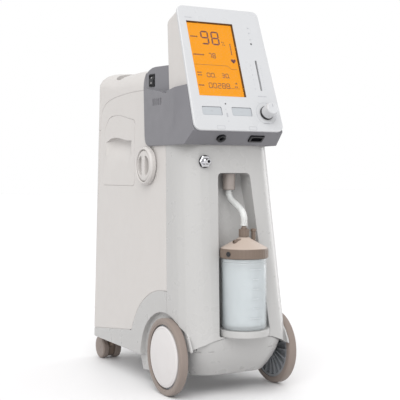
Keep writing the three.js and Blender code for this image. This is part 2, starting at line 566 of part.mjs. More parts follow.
// ---- rear casters -------------------------------------------------------------------------------
const casterAxleY = CASTER_STEM_Y + CASTER_TRAIL;
const yokeBack = CASTER_STEM_Y - 10;
const bridgeOutline = rounded([
  [yokeBack + 1, 26, 4], [casterAxleY, CASTER_RADIUS, 0], [casterAxleY + 12, 36, 4], [yokeBack + 1, 42.5, 3]], 3);
const coverOutline = rounded([
  [yokeBack, 43, 3], [yokeBack, 36, 0], [casterAxleY - 10, 39, 0], [casterAxleY + 4, 40.6, 0],
  [casterAxleY + 4, 43, 2]], 2);
const CHEEK_HALF = 5.4;
mirrored((side, name) => {
  const x = side * CASTER_X;
  const at = [x, casterAxleY, CASTER_RADIUS];
  const cheek = rod('x', 17, -CHEEK_HALF, CHEEK_HALF, at, 24);
  const bridge = prism('x', bridgeOutline, x - CHEEK_HALF, x + CHEEK_HALF);
  const wheelSpace = rod('x', CASTER_RADIUS + 0.9, -20, 20, at, 24)
    .subtract(rod('x', 30, -CHEEK_HALF, CHEEK_HALF, at, 24));
  const cover = prism('x', coverOutline, x - 16, x + 16).subtract(wheelSpace);
  const stem = rod('z', 5, 30, 66, [x, CASTER_STEM_Y, 0], 16);
  add(name, union(cheek, bridge, stem, cover).subtract(rod('x', 3.4, -20, 20, at, 16)), FINISH.taupe);
}, 'caster_yoke');
mirrored((side, name) => {
  const at = [side * CASTER_X, casterAxleY, CASTER_RADIUS];
  add(name, turned('x', [
    [0, -16.5], [8, -17.3], [CASTER_RADIUS - 2, -17.3], [CASTER_RADIUS, -15.5], [CASTER_RADIUS, -7.4],
    [CASTER_RADIUS - 1.4, -6], [3, -6], [3, 6], [CASTER_RADIUS - 1.4, 6], [CASTER_RADIUS, 7.4],
    [CASTER_RADIUS, 15.5], [CASTER_RADIUS - 2, 17.3], [8, 17.3], [0, 16.5]], at, 20), FINISH.taupe);
}, 'caster_wheels');

// ---- grey control housing -----------------------------------------------------------------------
const tilt = { sin: Math.sin(CONSOLE_TILT), cos: Math.cos(CONSOLE_TILT) };
const consolePoint = (depth, up) => [
  CONSOLE_Y + depth * tilt.cos + up * tilt.sin, CONSOLE_Z - depth * tilt.sin + up * tilt.cos];
const bezelBack = BEZEL.depth + 0.3;
const bezelHalf = (up) => BEZEL.low + ((BEZEL.high - BEZEL.low) * up) / BEZEL.height;

// In plan the housing's sides run straight, then turn in to meet the edges of the tilted bezel.
function housingPlan(inset) {
  const levels = [[300, 0, 1, 0], [388, 0, 1, 0], [456, -7, 73, 0], [600, -12, 120, 0]];
  return loft(levels.map(([z, turn, up]) => {
    const side = HOUSING_HALF_WIDTH - inset;
    const edge = bezelHalf(up) + 0.4 - inset;
    const front = consolePoint(bezelBack, up)[0];
    return {
      z,
      outline: [
        [-side, 130], [-side, turn], [-edge, front], [-edge + 4, front - 12],
        [edge - 4, front - 12], [edge, front], [side, turn], [side, 130]].map((p) => new THREE.Vector2(...p)),
    };
  }));
}
const splitZ = (y) => SPLIT_HEIGHT + SPLIT_SLOPE * y;
const splitFront = consolePoint(bezelBack, 73.1);
const CONSOLE_BACK = [[63.4, 87.6], [37, 196]];
const backLine = CONSOLE_BACK.map(([depth, up]) => consolePoint(depth, up));
const backAt = (z) => backLine[0][0]
  + ((z - backLine[0][1]) * (backLine[1][0] - backLine[0][0])) / (backLine[1][1] - backLine[0][1]);
const splitBack = backAt(splitZ(backLine[0][0]));
const housingSide = rounded([
  [-28, HOUSING_BOTTOM, 0], [HOUSING_REAR - 5, HOUSING_BOTTOM, 16], [HOUSING_REAR, HOUSING_TOP, 30],
  [backAt(HOUSING_TOP) + 0.4, HOUSING_TOP, 0], [splitBack + 0.4, splitZ(splitBack) - 0.3, 0],
  [splitFront[0], splitFront[1] - 0.3, 0], [...consolePoint(bezelBack, 1), 0]], 6);
const lowerCavity = prism('x', [
  [84, 355], [84, 446.6], [32, 446.6], [28, 444], [-90, 444], [-90, 390.5], [-49, 390.5],
  [-24.6, 368.6], [-24.6, 355]].reverse(), -WIDE, WIDE).intersect(housingPlan(3));
const upperCavity = box(-UPPER_CAVITY, UPPER_CAVITY, -90, 81, 436, HOUSING_TOP - 3.5);
const rearCavity = hoodForm(-GAP).intersect(box(-WIDE, WIDE, 85, 2 * WIDE, 340, TALL))
  .add(cabinet(-GAP, 350, 460).intersect(box(-WIDE, WIDE, 70, 2 * WIDE, 340, TALL)));
const FACET = { y0: 36, y1: 88, x0: -69.6, x1: -81.8 };
const facetCut = prism('z', [
  [-100, 90], [-100, 20], [FACET.x0, 20], [FACET.x0, FACET.y0], [FACET.x1, FACET.y1], [FACET.x1 - 0.9, 90],
], 430, 600).intersect(region([[110, 460], [110, 600], [10, 600], [10, 443]]));
const SWITCH = { y: 77.5, z: 468.2, halfWidth: 6.4, halfHeight: 9.3 };
const facetAngle = Math.atan2(FACET.x0 - FACET.x1, FACET.y1 - FACET.y0);
const facetX = FACET.x1 + ((FACET.y1 - SWITCH.y) * (FACET.x0 - FACET.x1)) / (FACET.y1 - FACET.y0);

// Places a solid drawn on the plane x = 0, facing -X, onto the slanted switch facet.
function onFacet(manifold) {
  const turn = THREE.MathUtils.radToDeg(facetAngle);
  return manifold.rotate([0, 0, turn]).translate([facetX, SWITCH.y, SWITCH.z]);
}
const switchHole = onFacet(box(-8, 11, -SWITCH.halfWidth - 0.3, SWITCH.halfWidth + 0.3,
  -SWITCH.halfHeight - 0.3, SWITCH.halfHeight + 0.3));
const ventSlots = union(...Array.from({ length: 5 }, (_, k) => box(
  -WIDE, -75, 37.5 + 6.6 * k, 40.1 + 6.6 * k, 428.5, 439)));

// Sockets in the sloping underside between the console and the front panel.
const undersideAngle = Math.atan2(387.1 - HOUSING_BOTTOM, -28 + 50.7);
const undersideAt = (x) => [x, -39.5, 377.4];
function onUnderside(manifold, x) {
  const turn = THREE.MathUtils.radToDeg(Math.PI / 2 - undersideAngle);
  return manifold.rotate([turn, 0, 0]).translate(undersideAt(x));
}
const SENSOR_X = -24;
const PORT_X = 36;
const sensorHole = onUnderside(rod('y', 7, -9, 9, [0, 0, 0], 20), SENSOR_X);
const portHole = onUnderside(box(-12.2, 12.2, -9, 9, -6.4, 6.4), PORT_X);

add('control_housing', prism('x', housingSide, -WIDE, WIDE).intersect(housingPlan(0))
  .subtract(lowerCavity).subtract(upperCavity).subtract(rearCavity).subtract(facetCut)
  .subtract(switchHole).subtract(ventSlots).subtract(sensorHole).subtract(portHole), FINISH.grey);
add('sensor_socket', onUnderside(ring('y', 3.4, 6.7, -3.4, 5, [0, 0, 0], 20)
  .add(rod('y', 6.7, 3, 5, [0, 0, 0], 20)), SENSOR_X), FINISH.black);
add('data_port', onUnderside(box(-11.8, 11.8, -2.4, 6, -6, 6).subtract(box(-9, 9, -5, 4, -3.6, 3.6)), PORT_X),
  FINISH.black);
const switchBlock = (front, back, wall, ends) => box(
  front, back, -SWITCH.halfWidth + wall, SWITCH.halfWidth - wall,
  -SWITCH.halfHeight + ends, SWITCH.halfHeight - ends);
add('switch_frame', onFacet(switchBlock(-1.2, 10.6, 0, 0).subtract(switchBlock(-5, 8, 1.4, 1.6))),
  FINISH.black);
const ROCKER_TILT = 8;
add('power_rocker', onFacet(prism('y', [
  [-6.9, -0.6], [0, -2.2], [6.9, -0.6], [6, 1.8], [0, 4.4], [-6, 1.8]].reverse(), -4.6, 4.6)
  .rotate([0, ROCKER_TILT, 0])), FINISH.black);

// ---- console ------------------------------------------------------------------------------------
function panelOutline(inset, low = 0) {
  return rounded([
    [low, -BEZEL.low + inset, BEZEL.radius], [BEZEL.height - inset, -BEZEL.high + inset, BEZEL.radius],
    [BEZEL.height - inset, BEZEL.high - inset, BEZEL.radius],
    [low, BEZEL.low - inset, BEZEL.radius]].reverse(), 5);
}
const display = (grow, front, back) => box(
  LCD.x0 - grow, LCD.x1 + grow, front, back, LCD.z0 - grow, LCD.z1 + grow);
const windows = union(
  display(0, -5, 20),
  ...BUTTONS.map((b) => box(b.x0, b.x1, -5, 20, ...BUTTON_Z)),
  box(FLOW.x - 1.6, FLOW.x + 1.6, -5, 20, FLOW.z0, FLOW.z1),
  rod('y', 4, -5, 20, [KNOB.x, 0, KNOB.z], 20));
add('console_bezel', prism('y', panelOutline(0), 0, BEZEL.depth).subtract(windows), FINISH.white,
  consoleGroup);
add('lcd_glass', display(-0.3, 3.2, 5), FINISH.clear, consoleGroup);
add('lcd_module', display(3, bezelBack, 13), FINISH.orange, consoleGroup);
for (const b of BUTTONS) {
  add(b.name, box(b.x0 + 0.4, b.x1 - 0.4, 0.9, 8, BUTTON_Z[0] + 0.4, BUTTON_Z[1] - 0.4), FINISH.white,
    consoleGroup);
}
add('flow_knob', turned('y', [
  [0, -KNOB.height], [KNOB.radius - 1.6, -KNOB.height], [KNOB.radius, -KNOB.height + 1.6],
  [KNOB.radius, -3.4], [KNOB.radius - 1, -3.4], [KNOB.radius - 1, -0.5], [2.8, -0.5], [2.8, 16], [0, 16],
], [KNOB.x, 0, KNOB.z], 28), FINISH.white, consoleGroup);
add('flow_valve', box(KNOB.x - 8, KNOB.x + 8, bezelBack, 26, KNOB.z - 8, KNOB.z + 8)
  .subtract(rod('y', 3.2, 0, 17, [KNOB.x, 0, KNOB.z])), FINISH.aluminium, consoleGroup);
add('flowmeter_tube', box(FLOW.x - 5.5, FLOW.x + 5.5, bezelBack, 15, FLOW.z0 - 5, FLOW.z1 + 5)
  .subtract(box(FLOW.x - 3, FLOW.x + 3, 0, 12, FLOW.z0 - 2, FLOW.z1 + 2)), FINISH.clear, consoleGroup);
add('flow_float', turned('z', [
  [0, FLOW.z0 - 1.6], [2.4, FLOW.z0], [2.4, FLOW.z0 + 4], [0, FLOW.z0 + 5.6]], [FLOW.x, 8.6, 0], 16),
FINISH.black, consoleGroup);
add('control_board', box(-62, 40, 16, 17.8, 78, 186)
  .add(box(-40, -10, 17.5, 25, 100, 130)).add(box(0, 24, 17.5, 22, 140, 165)), FINISH.board, consoleGroup);

// The white shell is a wedge, thin at the top and deep at the bottom, open in front and below.
function shellForm(inset) {
  const side = prism('x', [
    [bezelBack - (inset > 0 ? 5 : 0), 40], [bezelBack - (inset > 0 ? 5 : 0), 198.6 - inset],
    [CONSOLE_BACK[1][0] - inset, CONSOLE_BACK[1][1] - inset],
    [CONSOLE_BACK[0][0] - inset, CONSOLE_BACK[0][1]],
    [CONSOLE_BACK[0][0] + 11.6 - inset, 40],
  ].reverse(), -WIDE, WIDE);
  const frontView = prism('y', panelOutline(1.6 + inset, 20), -20, 100);
  return side.intersect(frontView);
}
const consoleShell = fromConsole(shellForm(0)).subtract(fromConsole(shellForm(2.5)))
  .intersect(region([[-WIDE, splitZ(-WIDE)], [WIDE, splitZ(WIDE)], [WIDE, 600], [-WIDE, 600]]));
add('console_shell', consoleShell, FINISH.white);

// ---- oxygen outlet ------------------------------------------------------------------------------
const outletFace = frontFace(OUTLET.z);
const outletAt = [OUTLET.x, outletFace, OUTLET.z];
add('outlet_nut', rod('y', 9.6, -4.6, -1.2, outletAt, 6).subtract(rod('y', 5.4, -10, 10, outletAt)),
  FINISH.chrome);
add('outlet_barb', turned('y', [
  [2.2, -14], [4, -14], [4.6, -10], [3.6, -9], [5, -8], [5, 12], [2.2, 12], [2.2, -14]], outletAt, 20),
FINISH.chrome);

// ---- humidifier ---------------------------------------------------------------------------------
const bottleAt = [BOTTLE.x, BOTTLE.y, 0];
const bore = BOTTLE.radius - BOTTLE.wall;
add('humidifier_bottle', turned('z', [
  [0, BOTTLE.bottom], [BOTTLE.radius - 3, BOTTLE.bottom], [BOTTLE.radius, BOTTLE.bottom + 3],
  [BOTTLE.radius, BOTTLE.top], [bore, BOTTLE.top], [bore, BOTTLE.bottom + 4], [0, BOTTLE.bottom + 3],
], bottleAt, 36), FINISH.clear);
const BUBBLER = { radius: 3, bottom: 112 };
add('water', rod('z', bore - 0.3, BOTTLE.bottom + 4.4, WATER_LEVEL, bottleAt, 36)
  .subtract(rod('z', 7.4, BUBBLER.bottom - 1, BUBBLER.bottom + 15, bottleAt))
  .subtract(rod('z', BUBBLER.radius + 0.4, BUBBLER.bottom, TALL, bottleAt, 12)), FINISH.water);
add('bubbler_tube', rod('z', BUBBLER.radius, BUBBLER.bottom + 8, LID.bottom + 3, bottleAt, 12)
  .add(rod('z', 7, BUBBLER.bottom, BUBBLER.bottom + 14, bottleAt, 16)), FINISH.white);
const barbTip = [BOTTLE.x - 21, BOTTLE.y - 6, 227];
const outletArm = tube(
  [[BOTTLE.x - 6, BOTTLE.y - 1.6, 226], [BOTTLE.x - 13, BOTTLE.y - 3.6, 227], barbTip], 3.2, 0, 4, 10);
add('humidifier_lid', turned('z', [
  [0, LID.top], [7, LID.top], [11, LID.top - 3], [LID.radius - 3, LID.rim + 0.6],
  [LID.radius, LID.rim - 1.4], [LID.radius, LID.bottom], [LID.radius - 3, LID.bottom],
  [LID.radius - 3, LID.rim - 4], [0, LID.rim - 3]], bottleAt, 36)
  .add(box(BOTTLE.x + 13, BOTTLE.x + 19.5, BOTTLE.y - 3.2, BOTTLE.y + 3.2, 226, 245))
  .add(outletArm).add(rod('z', 4.4, 220, 231, [BOTTLE.x - 11, BOTTLE.y - 3, 0], 12))
  .subtract(rod('z', BUBBLER.radius + 0.3, 180, LID.bottom + 12.4, bottleAt, 12))
  .subtract(rod('z', 4.9, 222, 240, bottleAt, 16)), FINISH.taupe);
add('inlet_nozzle', turned('z', [
  [0, 222.4], [4.5, 222.4], [4.5, 246], [2.6, 249], [2.6, 262], [1.6, 262], [1.6, 230], [0, 230]],
[BOTTLE.x, BOTTLE.y, 0], 16), FINISH.taupe);
add('collar_nut', ring('z', 4.9, 7.8, LID.top + 0.4, LID.top + 12, bottleAt, 16), FINISH.taupe);
add('humidifier_tube', tube([
  [4, -14, 300.6], [4, -14.4, 294], [4, -22, 286], [4, -40, 278], [4, -53, 270], [4, -58, 261], [4, -58, 252],
  [4, -58, 249.4]], TUBE_RADIUS, TUBE_BORE, 14, 8), FINISH.clear);
add('niche_socket', rod('z', 9.6, 301, NICHE.top - 0.4, [4, -14, 0], 20), FINISH.grey);
const holderRadius = 37.6;
add('bottle_holder', rod('z', holderRadius, NICHE.floor + 0.4, BOTTLE.bottom - 0.3, bottleAt, 40)
  .add(ring('z', BOTTLE.radius + 0.8, holderRadius, BOTTLE.bottom - 1, 112, bottleAt, 40)
    .intersect(box(BOTTLE.x - 12, WIDE, BOTTLE.y + 3, WIDE, 80, 130))), FINISH.white);

// ---- inside the cabinet -------------------------------------------------------------------------
const cradleLegs = union(...[[-55, 62], [55, 62], [-55, 178], [55, 178]].map(([x, y]) => rod(
  'z', 7, FLOOR_TOP + 0.4, 62, [x, y, 0], 12)));
add('compressor_cradle', box(-66, 66, 54, 188, 60, 64).add(cradleLegs), FINISH.steel);
add('compressor', union(
  rod('x', 40, -44, 44, [0, 120, 105], 28), rod('x', 24, -64, 64, [0, 120, 105], 24),
  box(-66, -46, 96, 144, 90, 166), box(46, 66, 96, 144, 90, 166), box(-40, 40, 96, 144, 64.4, 80)),
FINISH.aluminium);
mirrored((side, name) => add(name, turned('z', [
  [0, 96], [21, 96], [27, 102], [27, 344], [21, 350], [0, 350]], [side * 31, 228, 0], 20), FINISH.aluminium),
'sieve_bed');
add('valve_manifold', box(-58, 58, 210, 246, 350.4, 372).add(rod('z', 9, 371, 392, [-31, 228, 0], 12))
  .add(rod('z', 9, 371, 392, [31, 228, 0], 12)), FINISH.aluminium);
add('product_tank', turned('z', [
  [0, 215], [16, 215], [22, 221], [22, 364], [16, 370], [0, 370]], [46, 160, 0], 24), FINISH.white);
const FAN = { x: -14, y: 118, z: 190, half: 46 };
const fanAt = [FAN.x, FAN.y, FAN.z];
const fanBars = union(...[0, 60, 120].map((a) => box(-44, 44, -2.5, 2.5, -12, -9).rotate([0, 0, a])));
add('fan_frame', box(
  FAN.x - FAN.half, FAN.x + FAN.half, FAN.y - FAN.half, FAN.y + FAN.half, FAN.z - 12, FAN.z + 12)
  .subtract(rod('z', 43, -20, 20, fanAt, 32))
  .add(fanBars.translate(fanAt)).add(rod('z', 17, -12, -9, fanAt)), FINISH.black);
const blade = box(12, 41.5, -7, 7, -1, 1).rotate([32, 0, 0]);
add('fan_rotor', rod('z', 18, -8.4, 8, fanAt, 24)
  .add(union(...Array.from({ length: 7 }, (_, k) => blade.rotate([0, 0, (360 * k) / 7]))).translate(fanAt)),
FINISH.black);
add('feed_hose', tube([[0, 152, 146.4], [0, 172, 150], [0, 188, 190], [0, 188, 330], [0, 192, 354],
  [0, 199, 361], [0, 209.4, 361.4]], 6, 0, 16, 8),
  FINISH.black);

const assembly = new THREE.Group();
assembly.add(machine);
export default assembly;
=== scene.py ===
"""Looks for the oxygen concentrator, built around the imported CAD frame.

Lengths in the shape code are millimetres, measured like the CAD: Y is zero at the front axle.
at() moves such a point to Blender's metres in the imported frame.
"""

import json
import math

import bmesh
import bpy
from mathutils import Matrix, Vector


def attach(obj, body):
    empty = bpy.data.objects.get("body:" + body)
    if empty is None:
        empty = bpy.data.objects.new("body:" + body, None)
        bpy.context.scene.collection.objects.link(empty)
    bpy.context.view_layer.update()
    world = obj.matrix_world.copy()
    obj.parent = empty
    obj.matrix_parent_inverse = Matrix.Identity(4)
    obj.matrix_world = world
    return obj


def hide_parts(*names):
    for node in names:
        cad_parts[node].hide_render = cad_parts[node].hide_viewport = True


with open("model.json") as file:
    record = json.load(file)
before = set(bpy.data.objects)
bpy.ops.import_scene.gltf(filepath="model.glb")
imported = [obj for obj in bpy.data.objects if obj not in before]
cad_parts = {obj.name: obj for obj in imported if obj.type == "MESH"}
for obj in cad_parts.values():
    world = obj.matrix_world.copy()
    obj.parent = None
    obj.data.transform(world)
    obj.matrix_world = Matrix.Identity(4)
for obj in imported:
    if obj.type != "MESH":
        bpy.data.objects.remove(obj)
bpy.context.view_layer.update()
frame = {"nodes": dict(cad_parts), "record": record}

MM = 0.001
AXLE_Y = -113.7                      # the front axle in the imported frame
TILT = math.radians(20.4)            # the console leans back by this much
CONSOLE_Y, CONSOLE_Z = -56.0, 388.0  # its lower front edge
FLOOR_Z = 44.0                       # underside of the cabinet

BODY_OF = {
    node: body
    for body, nodes in frame["record"]["behaviour"]["bodies"].items()
    for node in nodes
}
SLOT_OF = {part["node"]: part["material_slot"] for part in frame["record"]["subparts"]}


def at(x, y, z):
    return Vector((x, y + AXLE_Y, z)) * MM


def on_console(x, depth, up):
    """A point on the tilted console: depth goes in behind its face, up runs along it."""
    return at(
        x,
        CONSOLE_Y + depth * math.cos(TILT) + up * math.sin(TILT),
        CONSOLE_Z - depth * math.sin(TILT) + up * math.cos(TILT),
    )


# ---- materials -----------------------------------------------------------------------------------
def node_tree(name):
    material = bpy.data.materials.new(name)
    material.use_nodes = True
    tree = material.node_tree
    tree.nodes.clear()
    output = tree.nodes.new("ShaderNodeOutputMaterial")
    shader = tree.nodes.new("ShaderNodeBsdfPrincipled")
    tree.links.new(shader.outputs["BSDF"], output.inputs["Surface"])
    return material, tree, shader


def noise(tree, scale, detail=3.0, roughness=0.5, stretch=None):
    coordinates = tree.nodes.new("ShaderNodeTexCoord")
    source = coordinates.outputs["Object"]
    if stretch:
        mapping = tree.nodes.new("ShaderNodeMapping")
        mapping.inputs["Scale"].default_value = stretch
        tree.links.new(source, mapping.inputs["Vector"])
        source = mapping.outputs["Vector"]
    texture = tree.nodes.new("ShaderNodeTexNoise")
    texture.inputs["Scale"].default_value = scale
    texture.inputs["Detail"].default_value = detail
    texture.inputs["Roughness"].default_value = roughness
    tree.links.new(source, texture.inputs["Vector"])
    return texture.outputs["Fac"]


def spread(tree, source, low, high):
    """Maps a noise value to the range low to high."""
    node = tree.nodes.new("ShaderNodeMapRange")
    node.inputs["From Min"].default_value = 0.3
    node.inputs["From Max"].default_value = 0.7
    node.inputs["To Min"].default_value = low
    node.inputs["To Max"].default_value = high
    tree.links.new(source, node.inputs["Value"])
    return node.outputs["Result"]


def shaded(colour, factor):
    return tuple(min(1.0, c * factor) for c in colour) + (1.0,)


def surface(name, colour, roughness, grain=0.0, grain_scale=1400.0, mottle=0.03, metallic=0.0,
            coat=0.0, sheen=0.0, ior=1.46, transmission=0.0, stretch=None, emission=0.0, alpha=1.0,
            dark=1.0):
    """A procedural finish: slow colour variation, uneven gloss and a fine moulded or worn grain."""
    material, tree, shader = node_tree(name)
    blotches = noise(tree, 14.0, 4.0)
    mix = tree.nodes.new("ShaderNodeMix")
    mix.data_type = "RGBA"
    mix.inputs["A"].default_value = shaded(colour, dark * (1.0 - mottle))
    mix.inputs["B"].default_value = shaded(colour, dark * (1.0 + mottle))
    tree.links.new(blotches, mix.inputs["Factor"])
    tree.links.new(mix.outputs["Result"], shader.inputs["Base Color"])
    gloss = spread(tree, noise(tree, 45.0, 3.0), roughness * 0.85, roughness * 1.15)
    tree.links.new(gloss, shader.inputs["Roughness"])
    if grain:
        bump = tree.nodes.new("ShaderNodeBump")
        bump.inputs["Strength"].default_value = grain
        bump.inputs["Distance"].default_value = 0.0003
        tree.links.new(noise(tree, grain_scale, 2.0, 0.6, stretch), bump.inputs["Height"])
        tree.links.new(bump.outputs["Normal"], shader.inputs["Normal"])
    shader.inputs["Metallic"].default_value = metallic
    shader.inputs["IOR"].default_value = ior
    shader.inputs["Coat Weight"].default_value = coat
    shader.inputs["Coat Roughness"].default_value = 0.12
    shader.inputs["Sheen Weight"].default_value = sheen
    shader.inputs["Transmission Weight"].default_value = transmission
    shader.inputs["Alpha"].default_value = alpha
    if emission:
        shader.inputs["Emission Color"].default_value = colour + (1.0,)
        shader.inputs["Emission Strength"].default_value = emission
    return material


FINISH = {
    "shell_ivory": surface("shell_ivory", (0.495, 0.474, 0.458), 0.38, grain=0.10, mottle=0.012),
    "shell_white": surface("shell_white", (0.400, 0.396, 0.390), 0.30, grain=0.06, mottle=0.012),
    "console_white": surface("console_white", (0.490, 0.496, 0.508), 0.30, grain=0.05, mottle=0.008),
    "housing_grey": surface("housing_grey", (0.165, 0.163, 0.176), 0.50, grain=0.22, mottle=0.03),
    "taupe_plastic": surface("taupe_plastic", (0.150, 0.112, 0.088), 0.42, grain=0.12, mottle=0.03),
    "tyre_rubber": surface("tyre_rubber", (0.208, 0.168, 0.146), 0.62, grain=0.35, grain_scale=900.0,
                           mottle=0.05, sheen=0.15),
    "hub_grey": surface("hub_grey", (0.230, 0.240, 0.255), 0.48, grain=0.25, mottle=0.04),
    "cap_white": surface("cap_white", (0.565, 0.545, 0.540), 0.36, grain=0.06, mottle=0.012),
    "black_plastic": surface("black_plastic", (0.012, 0.012, 0.014), 0.32, grain=0.2, mottle=0.1),
    "hose_rubber": surface("hose_rubber", (0.02, 0.02, 0.022), 0.6, grain=0.3, mottle=0.1),
    "clear_plastic": surface("clear_plastic", (0.93, 0.95, 0.97), 0.06, mottle=0.01,
                             transmission=0.9, ior=1.3, alpha=0.03),
    "bottle_clear": surface("bottle_clear", (0.66, 0.70, 0.715), 0.20, grain=0.03, mottle=0.015,
                            ior=1.3, alpha=0.42, coat=0.4),
    "tube_clear": surface("tube_clear", (0.74, 0.75, 0.74), 0.14, grain=0.04, mottle=0.02,
                          ior=1.35, alpha=0.55, coat=0.6),
    "water_blue": surface("water_blue", (0.52, 0.585, 0.61), 0.05, mottle=0.02, ior=1.2, alpha=0.55),
    "lcd_orange": surface("lcd_orange", (0.98, 0.376, 0.024), 0.35, mottle=0.01,
                          emission=0.96, dark=0.02, ior=1.12),
    "filter_foam": surface("filter_foam", (0.06, 0.065, 0.07), 0.9, grain=1.0, grain_scale=500.0, mottle=0.2),
    "board_green": surface("board_green", (0.03, 0.11, 0.06), 0.4, grain=0.2, mottle=0.1),
    "chrome": surface("chrome", (0.60, 0.60, 0.62), 0.10, metallic=1.0, mottle=0.02),
    "steel": surface("steel", (0.55, 0.55, 0.56), 0.32, grain=0.2, metallic=1.0, mottle=0.05,
                     stretch=(1.0, 12.0, 12.0)),
    "aluminium": surface("aluminium", (0.62, 0.63, 0.65), 0.42, grain=0.25, metallic=1.0, mottle=0.05),
    "tank_white": surface("tank_white", (0.75, 0.75, 0.74), 0.4, grain=0.1, mottle=0.03),
}
PRINT_DARK = surface("print_dark", (0.020, 0.020, 0.024), 0.5, grain=0.1, mottle=0.1)
# Grey for printed marks; also painted shade on the walls of the button recesses
PRINT_GREY_AND_SHADE = surface("print_grey_and_shade", (0.360, 0.365, 0.385), 0.5, grain=0.1, mottle=0.05)
# Grey for a ring at the bezel's rounded edge: painted shade for the darker bevel, not print
EDGE_PAINTED_SHADE = surface("painted_edge_shade", (0.640, 0.640, 0.640), 0.5, grain=0.1, mottle=0.05)
LCD_INK = surface("lcd_ink", (0.110, 0.036, 0.040), 0.6, grain=0.1, mottle=0.05)
# Dark brown for the walls of the display window: painted shade inside the recess
LCD_RECESS_SHADE = surface("lcd_recess_painted_shade", (0.090, 0.045, 0.012), 0.6, grain=0.1, mottle=0.05)
BUTTON_TINT = surface("button_tint", (0.385, 0.405, 0.425), 0.34, grain=0.06, mottle=0.01)
# A lighter copy of the lid's taupe: painted light for the cone's top, where light from above falls
LID_PAINTED_LIT = surface("lid_taupe_painted_lit", (0.430, 0.355, 0.305), 0.36, grain=0.10, mottle=0.03)
# Glowing plate behind the flow slot: painted light that makes the tube look light grey; there is no lamp
# there
SCALE_PAINTED_LIGHT = surface("scale_painted_light", (0.66, 0.67, 0.69), 0.5, mottle=0.02, emission=1.0)
SMOKY = surface("smoky_plastic", (0.300, 0.262, 0.240), 0.22, grain=0.05, mottle=0.03, alpha=0.85, coat=0.4)


# ---- building pieces -----------------------------------------------------------------------------
CREASE = math.radians(35.0)          # edges sharper than this stay sharp
def new_object(name, mesh):
    obj = bpy.data.objects.new(name, mesh)
    bpy.context.scene.collection.objects.link(obj)
    return obj


def place(obj, body, slot, replaces=(), finish=None):
    obj.data.materials.clear()
    obj.data.materials.append(finish or FINISH[slot])
    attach(obj, body)
    if replaces:
        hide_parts(*replaces)
    return obj


def bake_modifiers(obj):
    graph = bpy.context.evaluated_depsgraph_get()
    mesh = bpy.data.meshes.new_from_object(obj.evaluated_get(graph), depsgraph=graph)
    obj.modifiers.clear()
    obj.data = mesh


def add_bevel(obj, width, segments, sharp):
    bevel = obj.modifiers.new("edges", "BEVEL")
    bevel.width = width * MM
    bevel.segments = segments
    bevel.limit_method = "ANGLE"
    bevel.angle_limit = sharp
    return bevel


def finished(name, form, body, slot, replaces=(), finish=None, sharp=CREASE, rounding=0.0):
    """Turns a bmesh into a placed piece, smooth across edges flatter than the sharp angle."""
    bmesh.ops.recalc_face_normals(form, faces=form.faces)
    mesh = bpy.data.meshes.new(name)
    form.to_mesh(mesh)
    form.free()
    mesh.shade_smooth()
    mesh.set_sharp_from_angle(angle=sharp)
    obj = new_object(name, mesh)
    if rounding:
        add_bevel(obj, rounding, 2, sharp)
        weighted = obj.modifiers.new("normals", "WEIGHTED_NORMAL")
        weighted.keep_sharp = False
        bake_modifiers(obj)
    return place(obj, body, slot, replaces, finish)


def carved(name, form, cutters, body, slot, replaces, rounding):
    """A piece whose outer edges are rounded first and whose openings are then cut out of it."""
    objects = []
    for part in (form, cutters):
        bmesh.ops.recalc_face_normals(part, faces=part.faces)
        mesh = bpy.data.meshes.new(name)
        part.to_mesh(mesh)
        part.free()
        objects.append(new_object(name, mesh))
    obj, tool = objects
    add_bevel(obj, rounding, 4, CREASE)
    cut = obj.modifiers.new("openings", "BOOLEAN")
    cut.operation = "DIFFERENCE"
    cut.solver = "EXACT"
    cut.object = tool
    bake_modifiers(obj)
    bpy.data.objects.remove(tool)
    obj.data.shade_smooth()
    obj.data.set_sharp_from_angle(angle=CREASE)
    return place(obj, body, slot, replaces)


def refine(node, width):
    """Stands for a CAD node with the same faces, rounded edges and smooth curved surfaces."""
    mesh = frame["nodes"][node].data.copy()
    form = bmesh.new()
    form.from_mesh(mesh)
    bmesh.ops.remove_doubles(form, verts=form.verts, dist=0.05 * MM)
    bmesh.ops.dissolve_degenerate(form, edges=form.edges, dist=0.02 * MM)
    bmesh.ops.dissolve_limit(form, angle_limit=math.radians(0.8), verts=form.verts, edges=form.edges)
    bmesh.ops.triangulate(form, faces=form.faces, quad_method="BEAUTY", ngon_method="BEAUTY")
    bmesh.ops.recalc_face_normals(form, faces=form.faces)
    form.to_mesh(mesh)
    form.free()
    obj = new_object(node + "_moulded", mesh)
    mesh.shade_smooth()
    bevel = add_bevel(obj, width, 2, math.radians(30.0))
    bevel.use_clamp_overlap = False
    bevel.miter_outer = "MITER_ARC"
    weighted = obj.modifiers.new("normals", "WEIGHTED_NORMAL")
    weighted.keep_sharp = False
    weighted.weight = 60
    bake_modifiers(obj)
    return place(obj, BODY_OF[node], SLOT_OF[node], [node])


def rounded(corners, steps=5, closed=True):
    """An outline of (a, b, radius) corners with each corner rounded to its radius."""
    outline = []
    count = len(corners)
    for k, (a, b, radius) in enumerate(corners):
        here = Vector((a, b))
        end = not closed and k in (0, count - 1)
        if radius == 0 or end:
            outline.append((a, b))
            continue
        before = Vector(corners[k - 1][:2]) - here
        after = Vector(corners[(k + 1) % count][:2]) - here
        half = before.angle(after) / 2
        reach = min(radius / math.tan(half), 0.49 * before.length, 0.49 * after.length)
        start = here + before.normalized() * reach
        stop = here + after.normalized() * reach
        for step in range(steps + 1):
            t = step / steps
            point = start * (1 - t) ** 2 + here * (2 * t * (1 - t)) + stop * t ** 2
            outline.append((point.x, point.y))
    return outline


